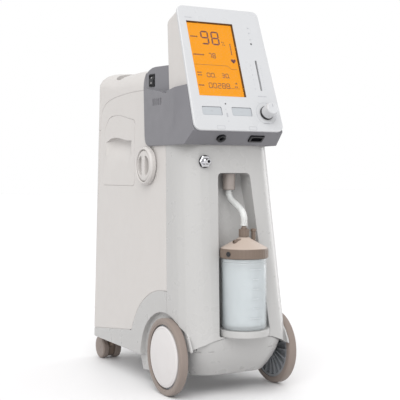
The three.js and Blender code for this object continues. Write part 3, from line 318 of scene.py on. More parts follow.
def turned(spot, profile, segments=96):
    """A turned form: spot(h, u, v) gives the point h along the axis and (u, v) off it."""
    form = bmesh.new()
    rings = []
    for radius, along in profile:
        if radius < 1e-6:
            rings.append([form.verts.new(spot(along, 0.0, 0.0))])
            continue
        rings.append([
            form.verts.new(spot(
                along,
                radius * math.cos(2 * math.pi * k / segments),
                radius * math.sin(2 * math.pi * k / segments)))
            for k in range(segments)
        ])
    pairs = list(zip(rings, rings[1:]))
    if len(rings[0]) > 1:
        pairs.append((rings[-1], rings[0]))
    for low, high in pairs:
        for k in range(segments):
            j = (k + 1) % segments
            corners = [low[k % len(low)], low[j % len(low)], high[j % len(high)], high[k % len(high)]]
            corners = list(dict.fromkeys(corners))
            if len(corners) > 2:
                form.faces.new(corners)
    return form


def plates(spot, outlines, near, far, form=None):
    """Flat plates: every outline of (a, b) points is carried from the near to the far depth."""
    form = form or bmesh.new()
    for outline in outlines:
        front = [form.verts.new(spot(a, near, b)) for a, b in outline]
        back = [form.verts.new(spot(a, far, b)) for a, b in outline]
        form.faces.new(front)
        form.faces.new(back[::-1])
        for k in range(len(outline)):
            j = (k + 1) % len(outline)
            form.faces.new((front[j], front[k], back[k], back[j]))
    return form


def bands(spot, pairs, near, far, form=None):
    """Flat rings between an outer and an inner outline with the same number of points."""
    form = form or bmesh.new()
    for outer, inner in pairs:
        loops = [
            [form.verts.new(spot(a, depth, b)) for a, b in outline]
            for outline, depth in ((outer, near), (inner, near), (inner, far), (outer, far))
        ]
        for k in range(len(outer)):
            j = (k + 1) % len(outer)
            for low, high in zip(loops, loops[1:] + loops[:1]):
                form.faces.new((low[k], low[j], high[j], high[k]))
    return form


def circle(x, y, radius, count=20):
    return [
        (x + radius * math.cos(2 * math.pi * k / count), y + radius * math.sin(2 * math.pi * k / count))
        for k in range(count)
    ]


def rectangle(x0, x1, y0, y1, radius=0.0):
    return rounded([(x0, y0, radius), (x1, y0, radius), (x1, y1, radius), (x0, y1, radius)], 3)


def along_x(x, y, z):
    return lambda h, u, v: at(x + h, y + u, z + v)


def along_z(x, y):
    return lambda h, u, v: at(x + u, y + v, h)


# ---- mouldings -----------------------------------------------------------------------------------
for node in ("front_panel", "front_skirt", "left_side_panel", "right_side_panel", "rear_hood",
             "rear_cover", "base_chassis", "console_shell", "control_housing"):
    refine(node, 0.8)
refine("filter_door", 0.5)
for node in ("bottle_holder", "intake_cap"):
    refine(node, 0.9)
for node in ("switch_frame", "power_rocker", "power_inlet", "data_port", "exhaust_grille"):
    refine(node, 0.3)
for node in ("caster_yoke_left", "caster_yoke_right"):
    refine(node, 0.5)

SIDE_AT_FLOOR, SIDE_LEAN = 92.5, 0.0389
REAR_AT_FLOOR, REAR_LEAN = 304.6, 0.028
SEAM_REACH = 1.7


def half_width(z):
    return SIDE_AT_FLOOR - SIDE_LEAN * (z - FLOOR_Z)


def rear_face(z):
    return REAR_AT_FLOOR + REAR_LEAN * (z - FLOOR_Z)


def seam_backing(name, curve, side, closed=False, inner=SEAM_REACH):
    """A strip just under the cabinet's side that closes the seam along a curve of (y, z) points."""
    form = bmesh.new()
    count = len(curve)
    rows = []
    for k, (y, z) in enumerate(curve):
        before = curve[(k - 1) % count if closed else max(k - 1, 0)]
        after = curve[(k + 1) % count if closed else min(k + 1, count - 1)]
        along = (Vector(after) - Vector(before)).normalized()
        across = Vector((-along.y, along.x))
        row = []
        for reach, depth in ((-SEAM_REACH, 0.75), (inner, 0.75), (inner, 1.5), (-SEAM_REACH, 1.5)):
            edge = Vector((y, z)) + across * reach
            row.append(form.verts.new(at(side * (half_width(edge.y) - depth), edge.x, edge.y)))
        rows.append(row)
    pairs = list(zip(rows, rows[1:]))
    if closed:
        pairs.append((rows[-1], rows[0]))
    for low, high in pairs:
        for k in range(4):
            j = (k + 1) % 4
            form.faces.new((low[k], low[j], high[j], high[k]))
    finished(name, form, "cabinet", "shell_ivory")


HOOD_SEAM = [(88, 455.6), (120, 456.3), (160, 456.4), (205, 454.5), (240, 451), (264, 445.5), (278, 436),
             (284.5, 422), (286, 405)]
DOOR_SEAM = rounded([(137, 305.5, 8), (268, 305.5, 8), (268, 422, 34), (205, 422, 30), (144, 411, 6)], 8)
FENDER_ARC = [(16.5 + 118.3 * math.cos(math.radians(a)), 50 + 101.3 * math.sin(math.radians(a)))
              for a in range(16, 89, 4)]
for side, hand in ((-1, "left"), (1, "right")):
    seam_backing("hood_seam_" + hand, HOOD_SEAM, side)
    seam_backing("rear_seam_" + hand, [(286.0, 92.0 + 50 * k) for k in range(7)], side)
    seam_backing("front_seam_" + hand, [(7.7 + 0.092 * (z - 125), z) for z in range(156, 366, 30)], side)
    seam_backing("lower_seam_" + hand, [(y, 59.9 + 0.1216 * (276 - y)) for y in range(138, 284, 20)], side)
    seam_backing("fender_seam_" + hand, FENDER_ARC, side)
seam_backing("door_seam", DOOR_SEAM, -1, closed=True, inner=0.4)

# ---- wheels --------------------------------------------------------------------------------------
WHEEL_RADIUS = 56.7
TYRE = [(47.5, 85.5, 0.6), (56.7, 85.5, 4.5), (56.7, 99.0, 4.5), (50.4, 99.0, 0.4), (49.8, 98.4, 0.3),
        (47.5, 98.4, 0.5)]
HUB_CAP = [(0.0, 95.4, 0.0), (44.8, 95.4, 0.3), (44.8, 98.3, 1.2), (42.4, 99.5, 0.4), (41.8, 98.9, 0.3),
           (41.1, 99.6, 0.5), (22.0, 100.8, 30.0), (0.0, 101.2, 0.0)]
HUB_DISC = [(5.4, 84.4, 0.0), (12.0, 84.4, 0.6), (12.4, 91.6, 0.8), (43.0, 91.6, 0.8), (43.5, 86.5, 0.4),
            (47.2, 86.5, 0.4), (47.2, 95.0, 0.3), (5.4, 95.0, 0.0)]
CASTER = [(0.0, 17.3, 0.0), (4.0, 17.3, 0.5), (4.6, 16.8, 0.3), (8.0, 17.2, 1.0), (18.0, 17.0, 1.5),
          (20.0, 15.2, 1.5), (20.0, 7.4, 1.2), (18.0, 6.0, 0.5), (3.0, 6.0, 0.3)]
CASTER_X, CASTER_Y, CASTER_RADIUS = 58.0, 303.0, 20.0
RIBS = 20
BOX_FACES = ((0, 1, 3, 2), (4, 6, 7, 5), (0, 4, 5, 1), (2, 3, 7, 6), (0, 2, 6, 4), (1, 5, 7, 3))


def signed(profile, side):
    return [(radius, side * along) for radius, along in profile]


for side, hand in ((-1, "left"), (1, "right")):
    wheel = "wheel_" + hand
    spot = along_x(0, 0, WHEEL_RADIUS)
    finished("tyre_" + hand + "_round", turned(spot, signed(rounded(TYRE), side), 128), wheel,
             "tyre_rubber", ["tyre_" + hand])
    finished("hub_cap_" + hand + "_round", turned(spot, signed(rounded(HUB_CAP, closed=False), side), 128),
             wheel, "cap_white", ["hub_cap_" + hand])
    hub = turned(spot, signed(rounded(HUB_DISC, closed=False), side), 96)
    for k in range(RIBS):
        turn = Matrix.Rotation(2 * math.pi * k / RIBS, 3, "X")
        corners = []
        for radius, half in ((11.5, 0.9), (44.0, 1.3)):
            for y in (-half, half):
                for x in (side * 87.0, side * 92.2):
                    corners.append(turn @ Vector((x, y, radius)))
        verts = [hub.verts.new(at(c.x, c.y, c.z + WHEEL_RADIUS)) for c in corners]
        for face in BOX_FACES:
            hub.faces.new([verts[i] for i in face])
    finished("wheel_hub_" + hand + "_ribbed", hub, wheel, "hub_grey", ["wheel_hub_" + hand])
    half_profile = rounded(CASTER, closed=False)
    whole = half_profile + [(radius, -along) for radius, along in reversed(half_profile)]
    finished("caster_wheels_" + hand + "_round", turned(along_x(side * CASTER_X, CASTER_Y, CASTER_RADIUS),
                                                             whole, 64),
             "caster_roll_" + hand, "tyre_rubber", ["caster_wheels_" + hand])

# ---- intake, switch and sockets ------------------------------------------------------------------
INTAKE_Y, INTAKE_Z, INTAKE_FACE = 86.0, 337.5, -81.08
RING = [(24.9, 9.0, 0.0), (26.4, 9.0, 0.0), (26.4, -1.6, 0.0), (29.4, -1.6, 0.4), (29.2, -7.4, 2.0),
        (27.2, -10.2, 1.8), (25.6, -10.3, 0.8), (24.9, -9.2, 0.3)]
finished("intake_ring_round", turned(along_x(INTAKE_FACE, INTAKE_Y, INTAKE_Z), rounded(RING), 96), "cabinet",
         "shell_ivory", ["intake_ring"])

FACET_IN, FACET_LONG = 12.2, 52.0        # the switch's slanted facet comes in 12.2 over 52 of length
FACET_ANGLE = math.atan2(FACET_IN, FACET_LONG)
SWITCH_Y, SWITCH_Z = 77.5, 468.2
FACET_X = -81.8 + (88.0 - SWITCH_Y) * FACET_IN / FACET_LONG
ROCKER_ANGLE = math.radians(8.0)


def on_rocker(across, depth, up):
    x = depth * math.cos(ROCKER_ANGLE) + up * math.sin(ROCKER_ANGLE)
    z = up * math.cos(ROCKER_ANGLE) - depth * math.sin(ROCKER_ANGLE)
    return at(
        FACET_X + x * math.cos(FACET_ANGLE) - across * math.sin(FACET_ANGLE),
        SWITCH_Y + x * math.sin(FACET_ANGLE) + across * math.cos(FACET_ANGLE),
        SWITCH_Z + z)


switch_marks = plates(on_rocker, [rectangle(-0.35, 0.35, 2.6, 5.0)], -1.66, -1.0)
bands(on_rocker, [(circle(0, -3.8, 1.4), circle(0, -3.8, 0.95))], -1.55, -1.0, switch_marks)
finished("switch_marks", switch_marks, "rocker", "cap_white")

UNDERSIDE_TURN = math.pi / 2 - math.atan2(19.6, 22.7)


def on_underside(x):
    def spot(h, u, v):
        y = h * math.cos(UNDERSIDE_TURN) - v * math.sin(UNDERSIDE_TURN)
        z = h * math.sin(UNDERSIDE_TURN) + v * math.cos(UNDERSIDE_TURN)
        return at(x + u, -39.5 + y, 377.4 + z)
    return spot


SOCKET = [(0.0, 4.8, 0.0), (6.6, 4.8, 0.2), (6.6, -2.6, 0.2), (6.7, -3.2, 0.6), (4.4, -3.3, 0.4),
          (3.6, -2.2, 0.4), (3.4, 3.0, 0.2), (0.0, 3.0, 0.0)]
finished("sensor_socket_round", turned(on_underside(-24.0), rounded(SOCKET, closed=False), 64), "cabinet",
         "black_plastic", ["sensor_socket"])

# ---- console -------------------------------------------------------------------------------------
LCD = (-58.5, 20.5, 53.5, 174.5)
KNOB_X, KNOB_UP = 49.5, 28.5
KNOB = [(0.0, -19.9, 0.0), (6.4, -20.1, 8.0), (8.2, -20.5, 1.6), (9.6, -18.6, 1.4), (10.0, -4.0, 0.3),
        (9.0, -3.5, 0.2), (9.0, -0.6, 0.0), (2.8, -0.5, 0.0), (2.8, 16.0, 0.0), (0.0, 16.0, 0.0)]
KNOB_BASE = [(9.05, -0.5, 0.0), (10.9, -0.5, 0.3), (10.9, -3.0, 0.8), (9.05, -3.6, 0.0)]
BEZEL_LOW, BEZEL_HIGH, BEZEL_UP, BEZEL_RADIUS = 75.5, 70.0, 200.0, 12.0


def on_knob(h, u, v):
    return on_console(KNOB_X + u, h, KNOB_UP + v)


finished("flow_knob_round", turned(on_knob, rounded(KNOB, closed=False), 96), "knob", "console_white",
         ["flow_knob"])
finished("flow_knob_base", turned(on_knob, rounded(KNOB_BASE), 96), "knob", "black_plastic")
pointer = rectangle(KNOB_X - 0.4, KNOB_X + 0.4, KNOB_UP + 2.0, KNOB_UP + 6.5, 0.3)
finished("flow_knob_pointer", plates(on_console, [pointer], -20.42, -19.8), "knob", "console_white",
         finish=PRINT_GREY_AND_SHADE)

for node, x0, x1 in (("left_button", -58.1, -25.9), ("right_button", -8.6, 24.6)):
    outline = rectangle(x0, x1, 23.4, 36.4, 2.4)
    finished(node + "_pad", plates(on_console, [outline], 0.9, 8.0), BODY_OF[node], "console_white", [node],
             BUTTON_TINT, rounding=0.5)
    middle = (x0 + x1) / 2
    marks = [rectangle(middle - 1.7, middle + 1.7, 29.6, 30.2)]
    if node == "left_button":
        marks.append(rectangle(middle - 0.3, middle + 0.3, 28.2, 31.6))
    finished(node + "_mark", plates(on_console, marks, 0.8, 1.2), BODY_OF[node], "console_white",
             finish=PRINT_GREY_AND_SHADE)
    # The walls of each button's recess take the grey as painted shade, for the dark line where the recess
    # lies in shadow
    outer = rectangle(x0 - 0.35, x1 + 0.35, 23.05, 36.75)
    inner = rectangle(x0 - 0.05, x1 + 0.05, 23.35, 36.45)
    wall = bands(on_console, [(outer, inner)], 0.5, 4.6)
    finished(node + "_surround", wall, "cabinet", "console_white", finish=PRINT_GREY_AND_SHADE)


def bezel_outline(inset):
    low = BEZEL_LOW - inset
    high = BEZEL_HIGH - inset
    top = BEZEL_UP - inset
    radius = BEZEL_RADIUS - inset
    return rounded([(-low, inset, radius), (low, inset, radius), (high, top, radius),
                    (-high, top, radius)], 8)


bezel_form = plates(on_console, [bezel_outline(0.0)], 0.0, 5.0)
windows = plates(on_console, [rectangle(*LCD), rectangle(-58.5, -25.5, 23.0, 36.8, 2.6),
                              rectangle(-9, 25, 23.0, 36.8, 2.6),
                              rectangle(47.9, 51.1, 65.0, 115.5, 1.5),
                              circle(KNOB_X, KNOB_UP, 4.0, 48)], -4.0, 9.0)
carved("console_bezel_face", bezel_form, windows, "cabinet", "console_white", ["console_bezel"], 1.4)
# An emissive plate behind the flow tube, painted light standing in for the lit slot
finished("flow_scale_painted_light", plates(on_console, [rectangle(46.7, 52.3, 63.5, 117.0)], 11.2, 11.9), "cabinet",
         "clear_plastic", finish=SCALE_PAINTED_LIGHT)
# A grey ring just inside the bezel's outline, painted shade for its rounded edge
finished("console_painted_edge_shade", bands(on_console, [(bezel_outline(0.25), bezel_outline(1.05))], 0.25, 1.6),
         "cabinet", "console_white", finish=EDGE_PAINTED_SHADE)
lcd_inside = rectangle(LCD[0] + 0.25, LCD[1] - 0.25, LCD[2] + 0.25, LCD[3] - 0.25)
# The display window's walls in dark brown, painted shade for the recess in front of the display
finished("display_recess_painted_shade", bands(on_console, [(rectangle(*LCD), lcd_inside)], 0.4, 5.2), "cabinet",
         "lcd_orange", finish=LCD_RECESS_SHADE)

SEGMENTS = {"0": "abcdef", "1": "bc", "2": "abdeg", "3": "abcdg", "4": "bcfg", "5": "acdfg", "7": "abc",
            "8": "abcdefg", "9": "abcdfg"}


def bar(x0, y0, x1, y1, thick):
    """One display segment, pointed at both ends."""
    along = Vector((x1 - x0, y1 - y0)).normalized() * thick / 2
    side = Vector((-along.y, along.x))
    start, end = Vector((x0, y0)), Vector((x1, y1))
    return [tuple(p) for p in (start, start + along + side, end - along + side, end, end - along - side,
                               start + along - side)]


def digit(sign, x, y, width, height, thick):
    gap = thick * 0.12
    left, right = x + thick / 2, x + width - thick / 2
    low, high = y + thick / 2, y + height - thick / 2
    middle = (low + high) / 2
    ends = {
        "a": (left + gap, high, right - gap, high), "b": (right, middle + gap, right, high - gap),
        "c": (right, low + gap, right, middle - gap), "d": (left + gap, low, right - gap, low),
        "e": (left, low + gap, left, middle - gap), "f": (left, middle + gap, left, high - gap),
        "g": (left + gap, middle, right - gap, middle),
    }
    return [bar(*ends[name], thick) for name in SEGMENTS[sign]]


def number(signs, x, y, pitch, width, height, thick):
    return [outline for k, sign in enumerate(signs)
            for outline in digit(sign, x + k * pitch, y, width, height, thick)]


def dashes(x0, x1, y, height, count):
    """A row of small blocks where a label would be printed."""
    step = (x1 - x0) / count
    return [rectangle(x0 + k * step, x0 + (k + 0.72) * step, y, y + height) for k in range(count)]


def heart(x, y, size):
    points = []
    for k in range(24):
        t = 2 * math.pi * k / 24
        across = math.sin(t) ** 3
        up = (13 * math.cos(t) - 5 * math.cos(2 * t) - 2 * math.cos(3 * t) - math.cos(4 * t)) / 16
        points.append((x + size * across, y + size * up))
    return points


display = (
    number("98", -35.5, 139.6, 17.6, 13.4, 22.4, 2.3)
    + number("78", -27.6, 117.2, 6.4, 5.2, 8.6, 1.1)
    + number("00", -37.0, 85.8, 7.2, 6.0, 7.2, 0.95)
    + number("30", -11.6, 85.8, 6.4, 5.2, 7.2, 0.95)
    + number("00288", -36.6, 68.4, 7.4, 6.0, 8.6, 0.95)
    + [circle(-22.6, 86.3, 0.6), circle(0.9, 86.3, 0.6), circle(-0.4, 145.2, 0.9), circle(2.8, 140.4, 0.9)]
    + [bar(-0.4, 139.8, 2.8, 145.8, 0.5)]
    + dashes(-52.8, -40.4, 150.8, 2.0, 4) + dashes(-53.2, -34.8, 121.2, 2.0, 7)
    + dashes(-52.1, -44.6, 92.2, 1.6, 4) + dashes(-52.1, -44.6, 88.0, 1.6, 3)
    + dashes(-53.5, -43.8, 71.6, 1.8, 4)
    + [rectangle(12.0, 13.6, 125.0 + 2.7 * k, 127.0 + 2.7 * k) for k in range(7)]
    + [heart(13.4, 114.6, 4.2)]
    + [rectangle(-55.0, 0.9, 105.8, 106.2), bar(0.9, 106.0, 6.7, 101.2, 0.4),
       rectangle(6.7, 16.9, 100.7, 101.1)]
    + [rectangle(-1.4, 14.9, 69.0, 69.4), [(8.6, 76.6), (12.8, 76.6), (10.7, 79.4)]]
    + dashes(7.2, 13.0, 71.2, 1.6, 2)
)
finished("display_figures", plates(on_console, display, 5.05, 5.22), "cabinet", "lcd_orange", finish=LCD_INK)

dark_marks = [circle(-17.9, 41.6, 1.15), circle(47.4, 143.0, 1.5)]
finished("console_lamps", plates(on_console, dark_marks, -0.12, 0.4), "cabinet", "black_plastic",
         finish=PRINT_DARK)
scale = [outline for k in range(6) for outline in digit(str(5 - k), 38.2, 105.4 - 7.8 * k, 1.5, 2.5, 0.36)]
scale += [rectangle(55.2, 57.0, 106.5 - 3.9 * k, 106.9 - 3.9 * k) for k in range(11)]
grey_marks = (
    scale + dashes(41.0, 56.7, 55.2, 1.5, 6) + dashes(41.5, 52.3, 11.4, 1.9, 4)
    + [heart(47.0, 169.6, 1.6), circle(47.3, 161.2, 1.2), [(46.0, 150.0), (48.8, 150.0), (47.4, 152.4)]]
    + dashes(-59.8, -47.6, 179.4, 1.3, 5)
    + [circle(-19.0, 32.7, 0.7), rectangle(-19.4, -16.9, 20.6, 27.2, 1.1), circle(-17.7, 14.1, 0.7)]
)
finished("console_marks", plates(on_console, grey_marks, -0.1, 0.4), "cabinet", "console_white",
         finish=PRINT_GREY_AND_SHADE)
lines = [(circle(KNOB_X, KNOB_UP, 17.3, 64), circle(KNOB_X, KNOB_UP, 16.9, 64))]
for x0, x1, y0, y1 in ((-38.9, -25.5, 1.2, 7.0), (14.8, 28.0, 1.0, 6.8)):
    lines.append((rectangle(x0, x1, y0, y1, 1.2), rectangle(x0 + 0.5, x1 - 0.5, y0 + 0.5, y1 - 0.5, 0.9)))
finished("console_lines", bands(on_console, lines, -0.1, 0.4), "cabinet", "console_white", finish=PRINT_GREY_AND_SHADE)

# ---- oxygen outlet and humidifier ----------------------------------------------------------------
OUTLET_X, OUTLET_Z, OUTLET_FACE = -45.0, 343.0, -27.14
BOTTLE_X, BOTTLE_Y = 4.0, -58.0


def on_outlet(h, u, v):
    return at(OUTLET_X + u, OUTLET_FACE + h, OUTLET_Z + v)


NUT = [(5.4, -1.2, 0.0), (8.8, -1.2, 0.3), (9.6, -1.8, 0.4), (9.6, -3.9, 0.4), (8.6, -4.6, 0.3),
       (5.4, -4.6, 0.0)]
BARB = [(2.2, -14.0, 0.2), (3.6, -14.0, 0.4), (4.6, -10.4, 0.3), (3.6, -9.4, 0.2), (5.0, -8.2, 0.3),
        (5.0, -4.8, 0.0), (5.0, 12.0, 0.0), (2.2, 12.0, 0.0)]
finished("outlet_nut_hex", turned(on_outlet, rounded(NUT), 6), "cabinet", "chrome", ["outlet_nut"],
         sharp=math.radians(25.0), rounding=0.25)
finished("outlet_barb_round", turned(on_outlet, rounded(BARB), 64), "cabinet", "chrome", ["outlet_barb"])
WASHER = [(5.6, -0.2, 0.0), (9.4, -0.2, 0.2), (9.6, -1.1, 0.3), (5.6, -1.15, 0.0)]
finished("outlet_washer", turned(on_outlet, rounded(WASHER), 64), "cabinet", "black_plastic")

bottle_axis = along_z(BOTTLE_X, BOTTLE_Y)
BOTTLE = [(0.0, 103.0, 0.0), (24.0, 102.6, 6.0), (26.0, 100.3, 1.0), (31.6, 100.3, 3.0), (32.9, 104.0, 2.0),
          (32.9, 196.0, 0.6), (32.4, 197.0, 0.4), (32.9, 198.0, 0.4), (32.9, 202.6, 0.3), (31.1, 202.6, 0.2),
          (31.1, 106.0, 3.0), (0.0, 104.4, 0.0)]
finished("humidifier_bottle_round", turned(bottle_axis, rounded(BOTTLE, closed=False), 128), "bottle",
         "bottle_clear", ["humidifier_bottle"])
WATER = [(0.0, 104.9, 0.0), (28.0, 105.4, 3.0), (30.9, 107.6, 2.0), (30.9, 188.0, 0.0), (3.4, 187.8, 0.0),
         (3.4, 127.0, 0.0), (7.4, 127.0, 0.0), (7.4, 111.5, 0.0), (0.0, 111.5, 0.0)]
finished("water_round", turned(bottle_axis, rounded(WATER, closed=False), 96), "bottle", "water_blue",
         ["water"])


def level_line(z, first, last, height):
    """A raised line on the bottle's wall between two angles in degrees."""
    form = bmesh.new()
    steps = 12
    loops = []
    for k in range(steps + 1):
        turn = math.radians(first + (last - first) * k / steps)
        loops.append([
            form.verts.new(at(BOTTLE_X + radius * math.sin(turn), BOTTLE_Y - radius * math.cos(turn), z + dz))
            for radius, dz in ((32.85, 0.0), (33.05, 0.0), (33.05, height), (32.85, height))
        ])
    for low, high in zip(loops, loops[1:]):
        for k in range(4):
            form.faces.new((low[k], low[(k + 1) % 4], high[(k + 1) % 4], high[k]))
    return form


for k, z in enumerate((118.0, 132.0, 146.0, 160.0, 174.0, 188.0)):
    reach = 16.0 if k in (0, 5) else 8.0
    finished("level_line_%d" % k, level_line(z, -reach, reach, 0.5), "bottle", "bottle_clear",
             finish=PRINT_GREY_AND_SHADE)

LID = [(5.1, 232.2, 0.0), (7.4, 233.0, 0.6), (11.2, 230.2, 1.5), (32.2, 218.8, 2.5), (34.6, 216.9, 0.5),
       (34.6, 215.0, 0.3), (5.1, 215.0, 0.0)]
# The cone takes the lighter taupe as painted light; the rim keeps the darker taupe of the same plastic
finished("humidifier_lid_cone", turned(bottle_axis, rounded(LID), 128), "humidifier", "taupe_plastic",
         ["humidifier_lid"], LID_PAINTED_LIT)
RIM = [(32.4, 217.2, 0.0), (34.9, 217.2, 0.6), (35.3, 215.8, 0.6), (35.3, 203.8, 0.5), (34.4, 203.0, 0.3),
       (32.4, 203.0, 0.2)]
finished("humidifier_lid_rim", turned(bottle_axis, rounded(RIM), 128), "humidifier", "taupe_plastic",
         ["humidifier_lid"])
BUTTON = [(0.0, 0.0, 0.0), (3.6, 0.0, 0.0), (3.6, 2.0, 0.8), (0.0, 2.2, 0.0)]
LID_BUTTON_TURN = math.radians(200.0)


def on_lid_button(h, u, v):
    reach = 34.8 + h
    return at(
        BOTTLE_X + reach * math.cos(LID_BUTTON_TURN) - u * math.sin(LID_BUTTON_TURN),
        BOTTLE_Y + reach * math.sin(LID_BUTTON_TURN) + u * math.cos(LID_BUTTON_TURN),
        210.0 + v)


finished("lid_button", turned(on_lid_button, rounded(BUTTON, closed=False), 40), "humidifier",
         "black_plastic")
GRIPS = 40
grips = bmesh.new()
for k in range(GRIPS):
    turn = 2 * math.pi * k / GRIPS
    outward = (math.cos(turn), math.sin(turn))
    across = (-outward[1], outward[0])
    corners = []
    for radius, half in ((35.1, 0.9), (35.55, 0.45)):
        for step in (-half, half):
            corners.append((BOTTLE_X + radius * outward[0] + step * across[0],
                            BOTTLE_Y + radius * outward[1] + step * across[1]))
    ring = [corners[0], corners[1], corners[3], corners[2]]
    plates(lambda a, depth, b: at(a, b, depth), [ring], 204.4, 215.2, grips)
finished("humidifier_lid_grips", grips, "humidifier", "taupe_plastic")
POST = [(0.0, 224.0, 0.0), (3.3, 224.0, 0.0), (3.3, 240.4, 0.3), (4.2, 241.0, 0.4), (4.2, 244.4, 0.8),
        (3.0, 245.0, 0.6), (0.0, 245.0, 0.0)]
finished("relief_post", turned(along_z(BOTTLE_X + 16.2, BOTTLE_Y), rounded(POST, closed=False), 48),
         "humidifier", "taupe_plastic", ["humidifier_lid"])
ARM_ROOT = [(0.0, 221.0, 0.0), (4.6, 221.0, 0.0), (4.6, 229.6, 1.4), (3.4, 231.0, 1.0), (0.0, 231.0, 0.0)]
finished("outlet_arm_root", turned(along_z(BOTTLE_X - 11.0, BOTTLE_Y - 3.0),
                                   rounded(ARM_ROOT, closed=False), 48),
         "humidifier", "taupe_plastic", ["humidifier_lid"])
arm_from = Vector((BOTTLE_X - 9.0, BOTTLE_Y - 2.4, 226.6))
arm_to = Vector((BOTTLE_X - 21.0, BOTTLE_Y - 6.0, 227.0))
arm_along = (arm_to - arm_from).normalized()
arm_side = arm_along.cross(Vector((0, 0, 1))).normalized()
arm_up = arm_side.cross(arm_along)
ARM_LENGTH = (arm_to - arm_from).length
ARM = [(0.0, 0.0, 0.0), (3.0, 0.0, 0.0), (3.0, 5.0, 0.2), (3.4, 5.2, 0.2), (2.6, 7.6, 0.2), (3.4, 7.8, 0.2),
       (2.6, 10.0, 0.2), (3.3, 10.2, 0.2), (2.4, ARM_LENGTH, 0.3), (1.6, ARM_LENGTH, 0.2), (1.6, 6.0, 0.0),
       (0.0, 6.0, 0.0)]


def on_arm(h, u, v):
    return at(*(arm_from + arm_along * h + arm_side * u + arm_up * v))


finished("outlet_arm", turned(on_arm, rounded(ARM, closed=False), 40), "humidifier", "taupe_plastic",
         ["humidifier_lid"])
NOZZLE = [(0.0, 222.4, 0.0), (4.5, 222.4, 0.0), (4.5, 246.0, 0.6), (3.0, 248.6, 0.4), (2.6, 250.4, 0.2),
          (2.6, 261.6, 0.3), (1.6, 262.0, 0.2), (1.6, 232.0, 0.0), (0.0, 232.0, 0.0)]
finished("inlet_nozzle_round", turned(bottle_axis, rounded(NOZZLE, closed=False), 48), "humidifier",
         "taupe_plastic", ["inlet_nozzle"])
COLLAR_RIBS = 16
collar_outline = []
for k in range(COLLAR_RIBS * 4):
    radius = 7.8 if k % 4 in (0, 1) else 7.35
    turn = 2 * math.pi * k / (COLLAR_RIBS * 4)
    collar_outline.append((BOTTLE_X + radius * math.cos(turn), BOTTLE_Y + radius * math.sin(turn)))
collar = bands(lambda a, depth, b: at(a, b, depth),
               [(collar_outline, circle(BOTTLE_X, BOTTLE_Y, 4.9, COLLAR_RIBS * 4))], 233.6, 244.6)
finished("collar_nut_ribbed", collar, "collar", "taupe_plastic", ["collar_nut"],
         sharp=math.radians(25.0), rounding=0.25)

TUBE_PATH = [(4, -14, 300.6), (4, -14.4, 294), (4, -22, 286), (4, -40, 278), (4, -53, 270), (4, -58, 261),
             (4, -58, 252), (4, -58, 249.4)]


def swept(points, radius, bore, sides=32, steps=72):
    """A hollow tube along a Catmull-Rom curve through the points, which lie in one plane across X."""
    path = []
    for k in range(steps + 1):
        t = (len(points) - 1) * k / steps
        i = min(int(t), len(points) - 2)
        t -= i
        p0, p1, p2, p3 = (Vector(points[min(max(i + j, 0), len(points) - 1)]) for j in (-1, 0, 1, 2))
        path.append(0.5 * (2 * p1 + (p2 - p0) * t + (2 * p0 - 5 * p1 + 4 * p2 - p3) * t ** 2
                           + (3 * p1 - p0 - 3 * p2 + p3) * t ** 3))
    form = bmesh.new()
    loops = []
    across = Vector((1, 0, 0))
    for k, centre in enumerate(path):
        along = (path[min(k + 1, steps)] - path[max(k - 1, 0)]).normalized()
        up = along.cross(across).normalized()
        pair = []
        for reach in (radius, bore):
            pair.append([
                form.verts.new(at(*(centre + across * reach * math.cos(2 * math.pi * j / sides)
                                    + up * reach * math.sin(2 * math.pi * j / sides))))
                for j in range(sides)
            ])
        loops.append(pair)
    strips = [(a[0], b[0]) for a, b in zip(loops, loops[1:])]
    strips += [(a[1], b[1]) for a, b in zip(loops, loops[1:])]
    strips += [(loops[0][0], loops[0][1]), (loops[-1][0], loops[-1][1])]
    for low, high in strips:
        for j in range(sides):
            i = (j + 1) % sides
            form.faces.new((low[j], low[i], high[i], high[j]))
    return form


finished("humidifier_tube_smooth", swept(TUBE_PATH, 4.8, 3.4), "humidifier", "tube_clear",
         ["humidifier_tube"], sharp=math.radians(50.0))
NICHE_SOCKET = [(0.0, 325.6, 0.0), (9.6, 325.6, 0.5), (9.2, 306.0, 0.4), (9.6, 305.4, 0.4), (9.6, 302.0, 0.8),
                (8.6, 301.0, 0.5), (5.0, 301.0, 0.3), (5.0, 304.0, 0.0), (0.0, 304.0, 0.0)]
finished("niche_socket_round", turned(along_z(4.0, -14.0), rounded(NICHE_SOCKET, closed=False), 64),
         "cabinet", "housing_grey", ["niche_socket"], SMOKY)

# ---- rear fittings -------------------------------------------------------------------------------
SCREW = [(0.0, -1.3, 0.0), (1.0, -1.3, 0.1), (1.1, -0.7, 0.1), (1.2, -1.4, 0.1), (2.6, -1.1, 0.6),
         (3.2, 0.0, 0.3), (3.2, 1.0, 0.0), (0.0, 1.0, 0.0)]


def on_rear_screw(x, z):
    return lambda h, u, v: at(x + u, rear_face(z) - h, z + v)


for k, (x, z) in enumerate(((-62, 380), (62, 380), (-70, 74), (70, 74), (-66, 230), (66, 230))):
    finished("rear_screw_%d" % k, turned(on_rear_screw(x, z), rounded(SCREW, closed=False), 40), "cabinet",
             "steel")
label = rounded([(-30, 250, 3), (30, 250, 3), (30, 300, 3), (-30, 300, 3)])
finished("rear_label_plate", plates(lambda x, depth, z: at(x, rear_face(z) + depth, z), [label], 0.3, -0.5),
         "cabinet", "tank_white")

for node, obj in frame["nodes"].items():
    obj.data.materials.clear()
    obj.data.materials.append(FINISH[SLOT_OF[node]])


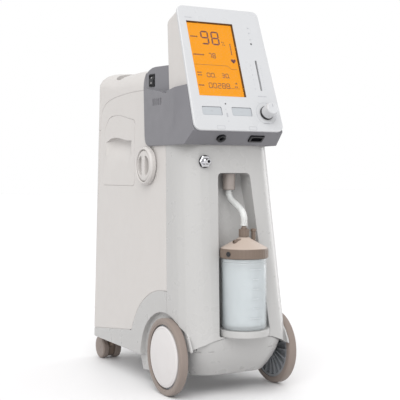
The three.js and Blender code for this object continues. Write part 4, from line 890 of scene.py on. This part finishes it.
# ---- floor, light and camera ---------------------------------------------------------------------
def stage_material():
    material, _, shader = node_tree("pale_floor")
    shader.inputs["Base Color"].default_value = (0.74, 0.735, 0.74, 1.0)
    shader.inputs["Roughness"].default_value = 0.55
    shader.inputs["Specular IOR Level"].default_value = 0.2
    return material


floor_mesh = bpy.data.meshes.new("floor")
HALF = 12.0
floor_mesh.from_pydata([(-HALF, -HALF, 0), (HALF, -HALF, 0), (HALF, HALF, 0), (-HALF, HALF, 0)], [],
                       [(0, 1, 2, 3)])
floor = new_object("floor", floor_mesh)
floor.data.materials.append(stage_material())

world = bpy.data.worlds.new("studio")
bpy.context.scene.world = world
world.use_nodes = True
world.node_tree.nodes["Background"].inputs["Color"].default_value = (1.0, 1.0, 1.0, 1.0)
world.node_tree.nodes["Background"].inputs["Strength"].default_value = 1.0


def softbox(name, location, aim, width, height, watts, colour=(1.0, 1.0, 1.0)):
    light = bpy.data.lights.new(name, "AREA")
    light.shape = "RECTANGLE"
    light.size = width
    light.size_y = height
    light.energy = watts
    light.color = colour
    obj = bpy.data.objects.new(name, light)
    obj.location = location
    obj.rotation_euler = (Vector(aim) - Vector(location)).to_track_quat("-Z", "Y").to_euler()
    bpy.context.scene.collection.objects.link(obj)


sun = bpy.data.lights.new("skylight", "SUN")
sun.energy = 1.75
sun.angle = math.radians(50.0)
sun_object = bpy.data.objects.new("skylight", sun)
sun_object.rotation_euler = Vector((0.55, 0.75, -1.0)).to_track_quat("-Z", "Y").to_euler()
bpy.context.scene.collection.objects.link(sun_object)
softbox("key", (-1.6, -1.0, 1.2), (0, 0, 0.25), 1.2, 1.2, 3.0, (1.0, 0.98, 0.95))
softbox("rim", (1.5, 0.2, 0.7), (0, 0, 0.3), 0.5, 1.6, 7.0)
softbox("fill", (-0.35, -1.1, 0.06), (0, 0, 0.15), 1.2, 0.25, 1.0)

camera = bpy.data.cameras.new("camera")
camera.lens = 83.3
camera.sensor_width = 36.0
camera_object = bpy.data.objects.new("camera", camera)
camera_object.location = (-0.695, -1.3247, 0.326)
camera_object.rotation_euler = (math.radians(90.0 - 1.66), 0.0, math.radians(-28.5))
bpy.context.scene.collection.objects.link(camera_object)
bpy.context.scene.camera = camera_object
bpy.context.scene.view_settings.view_transform = "Standard"
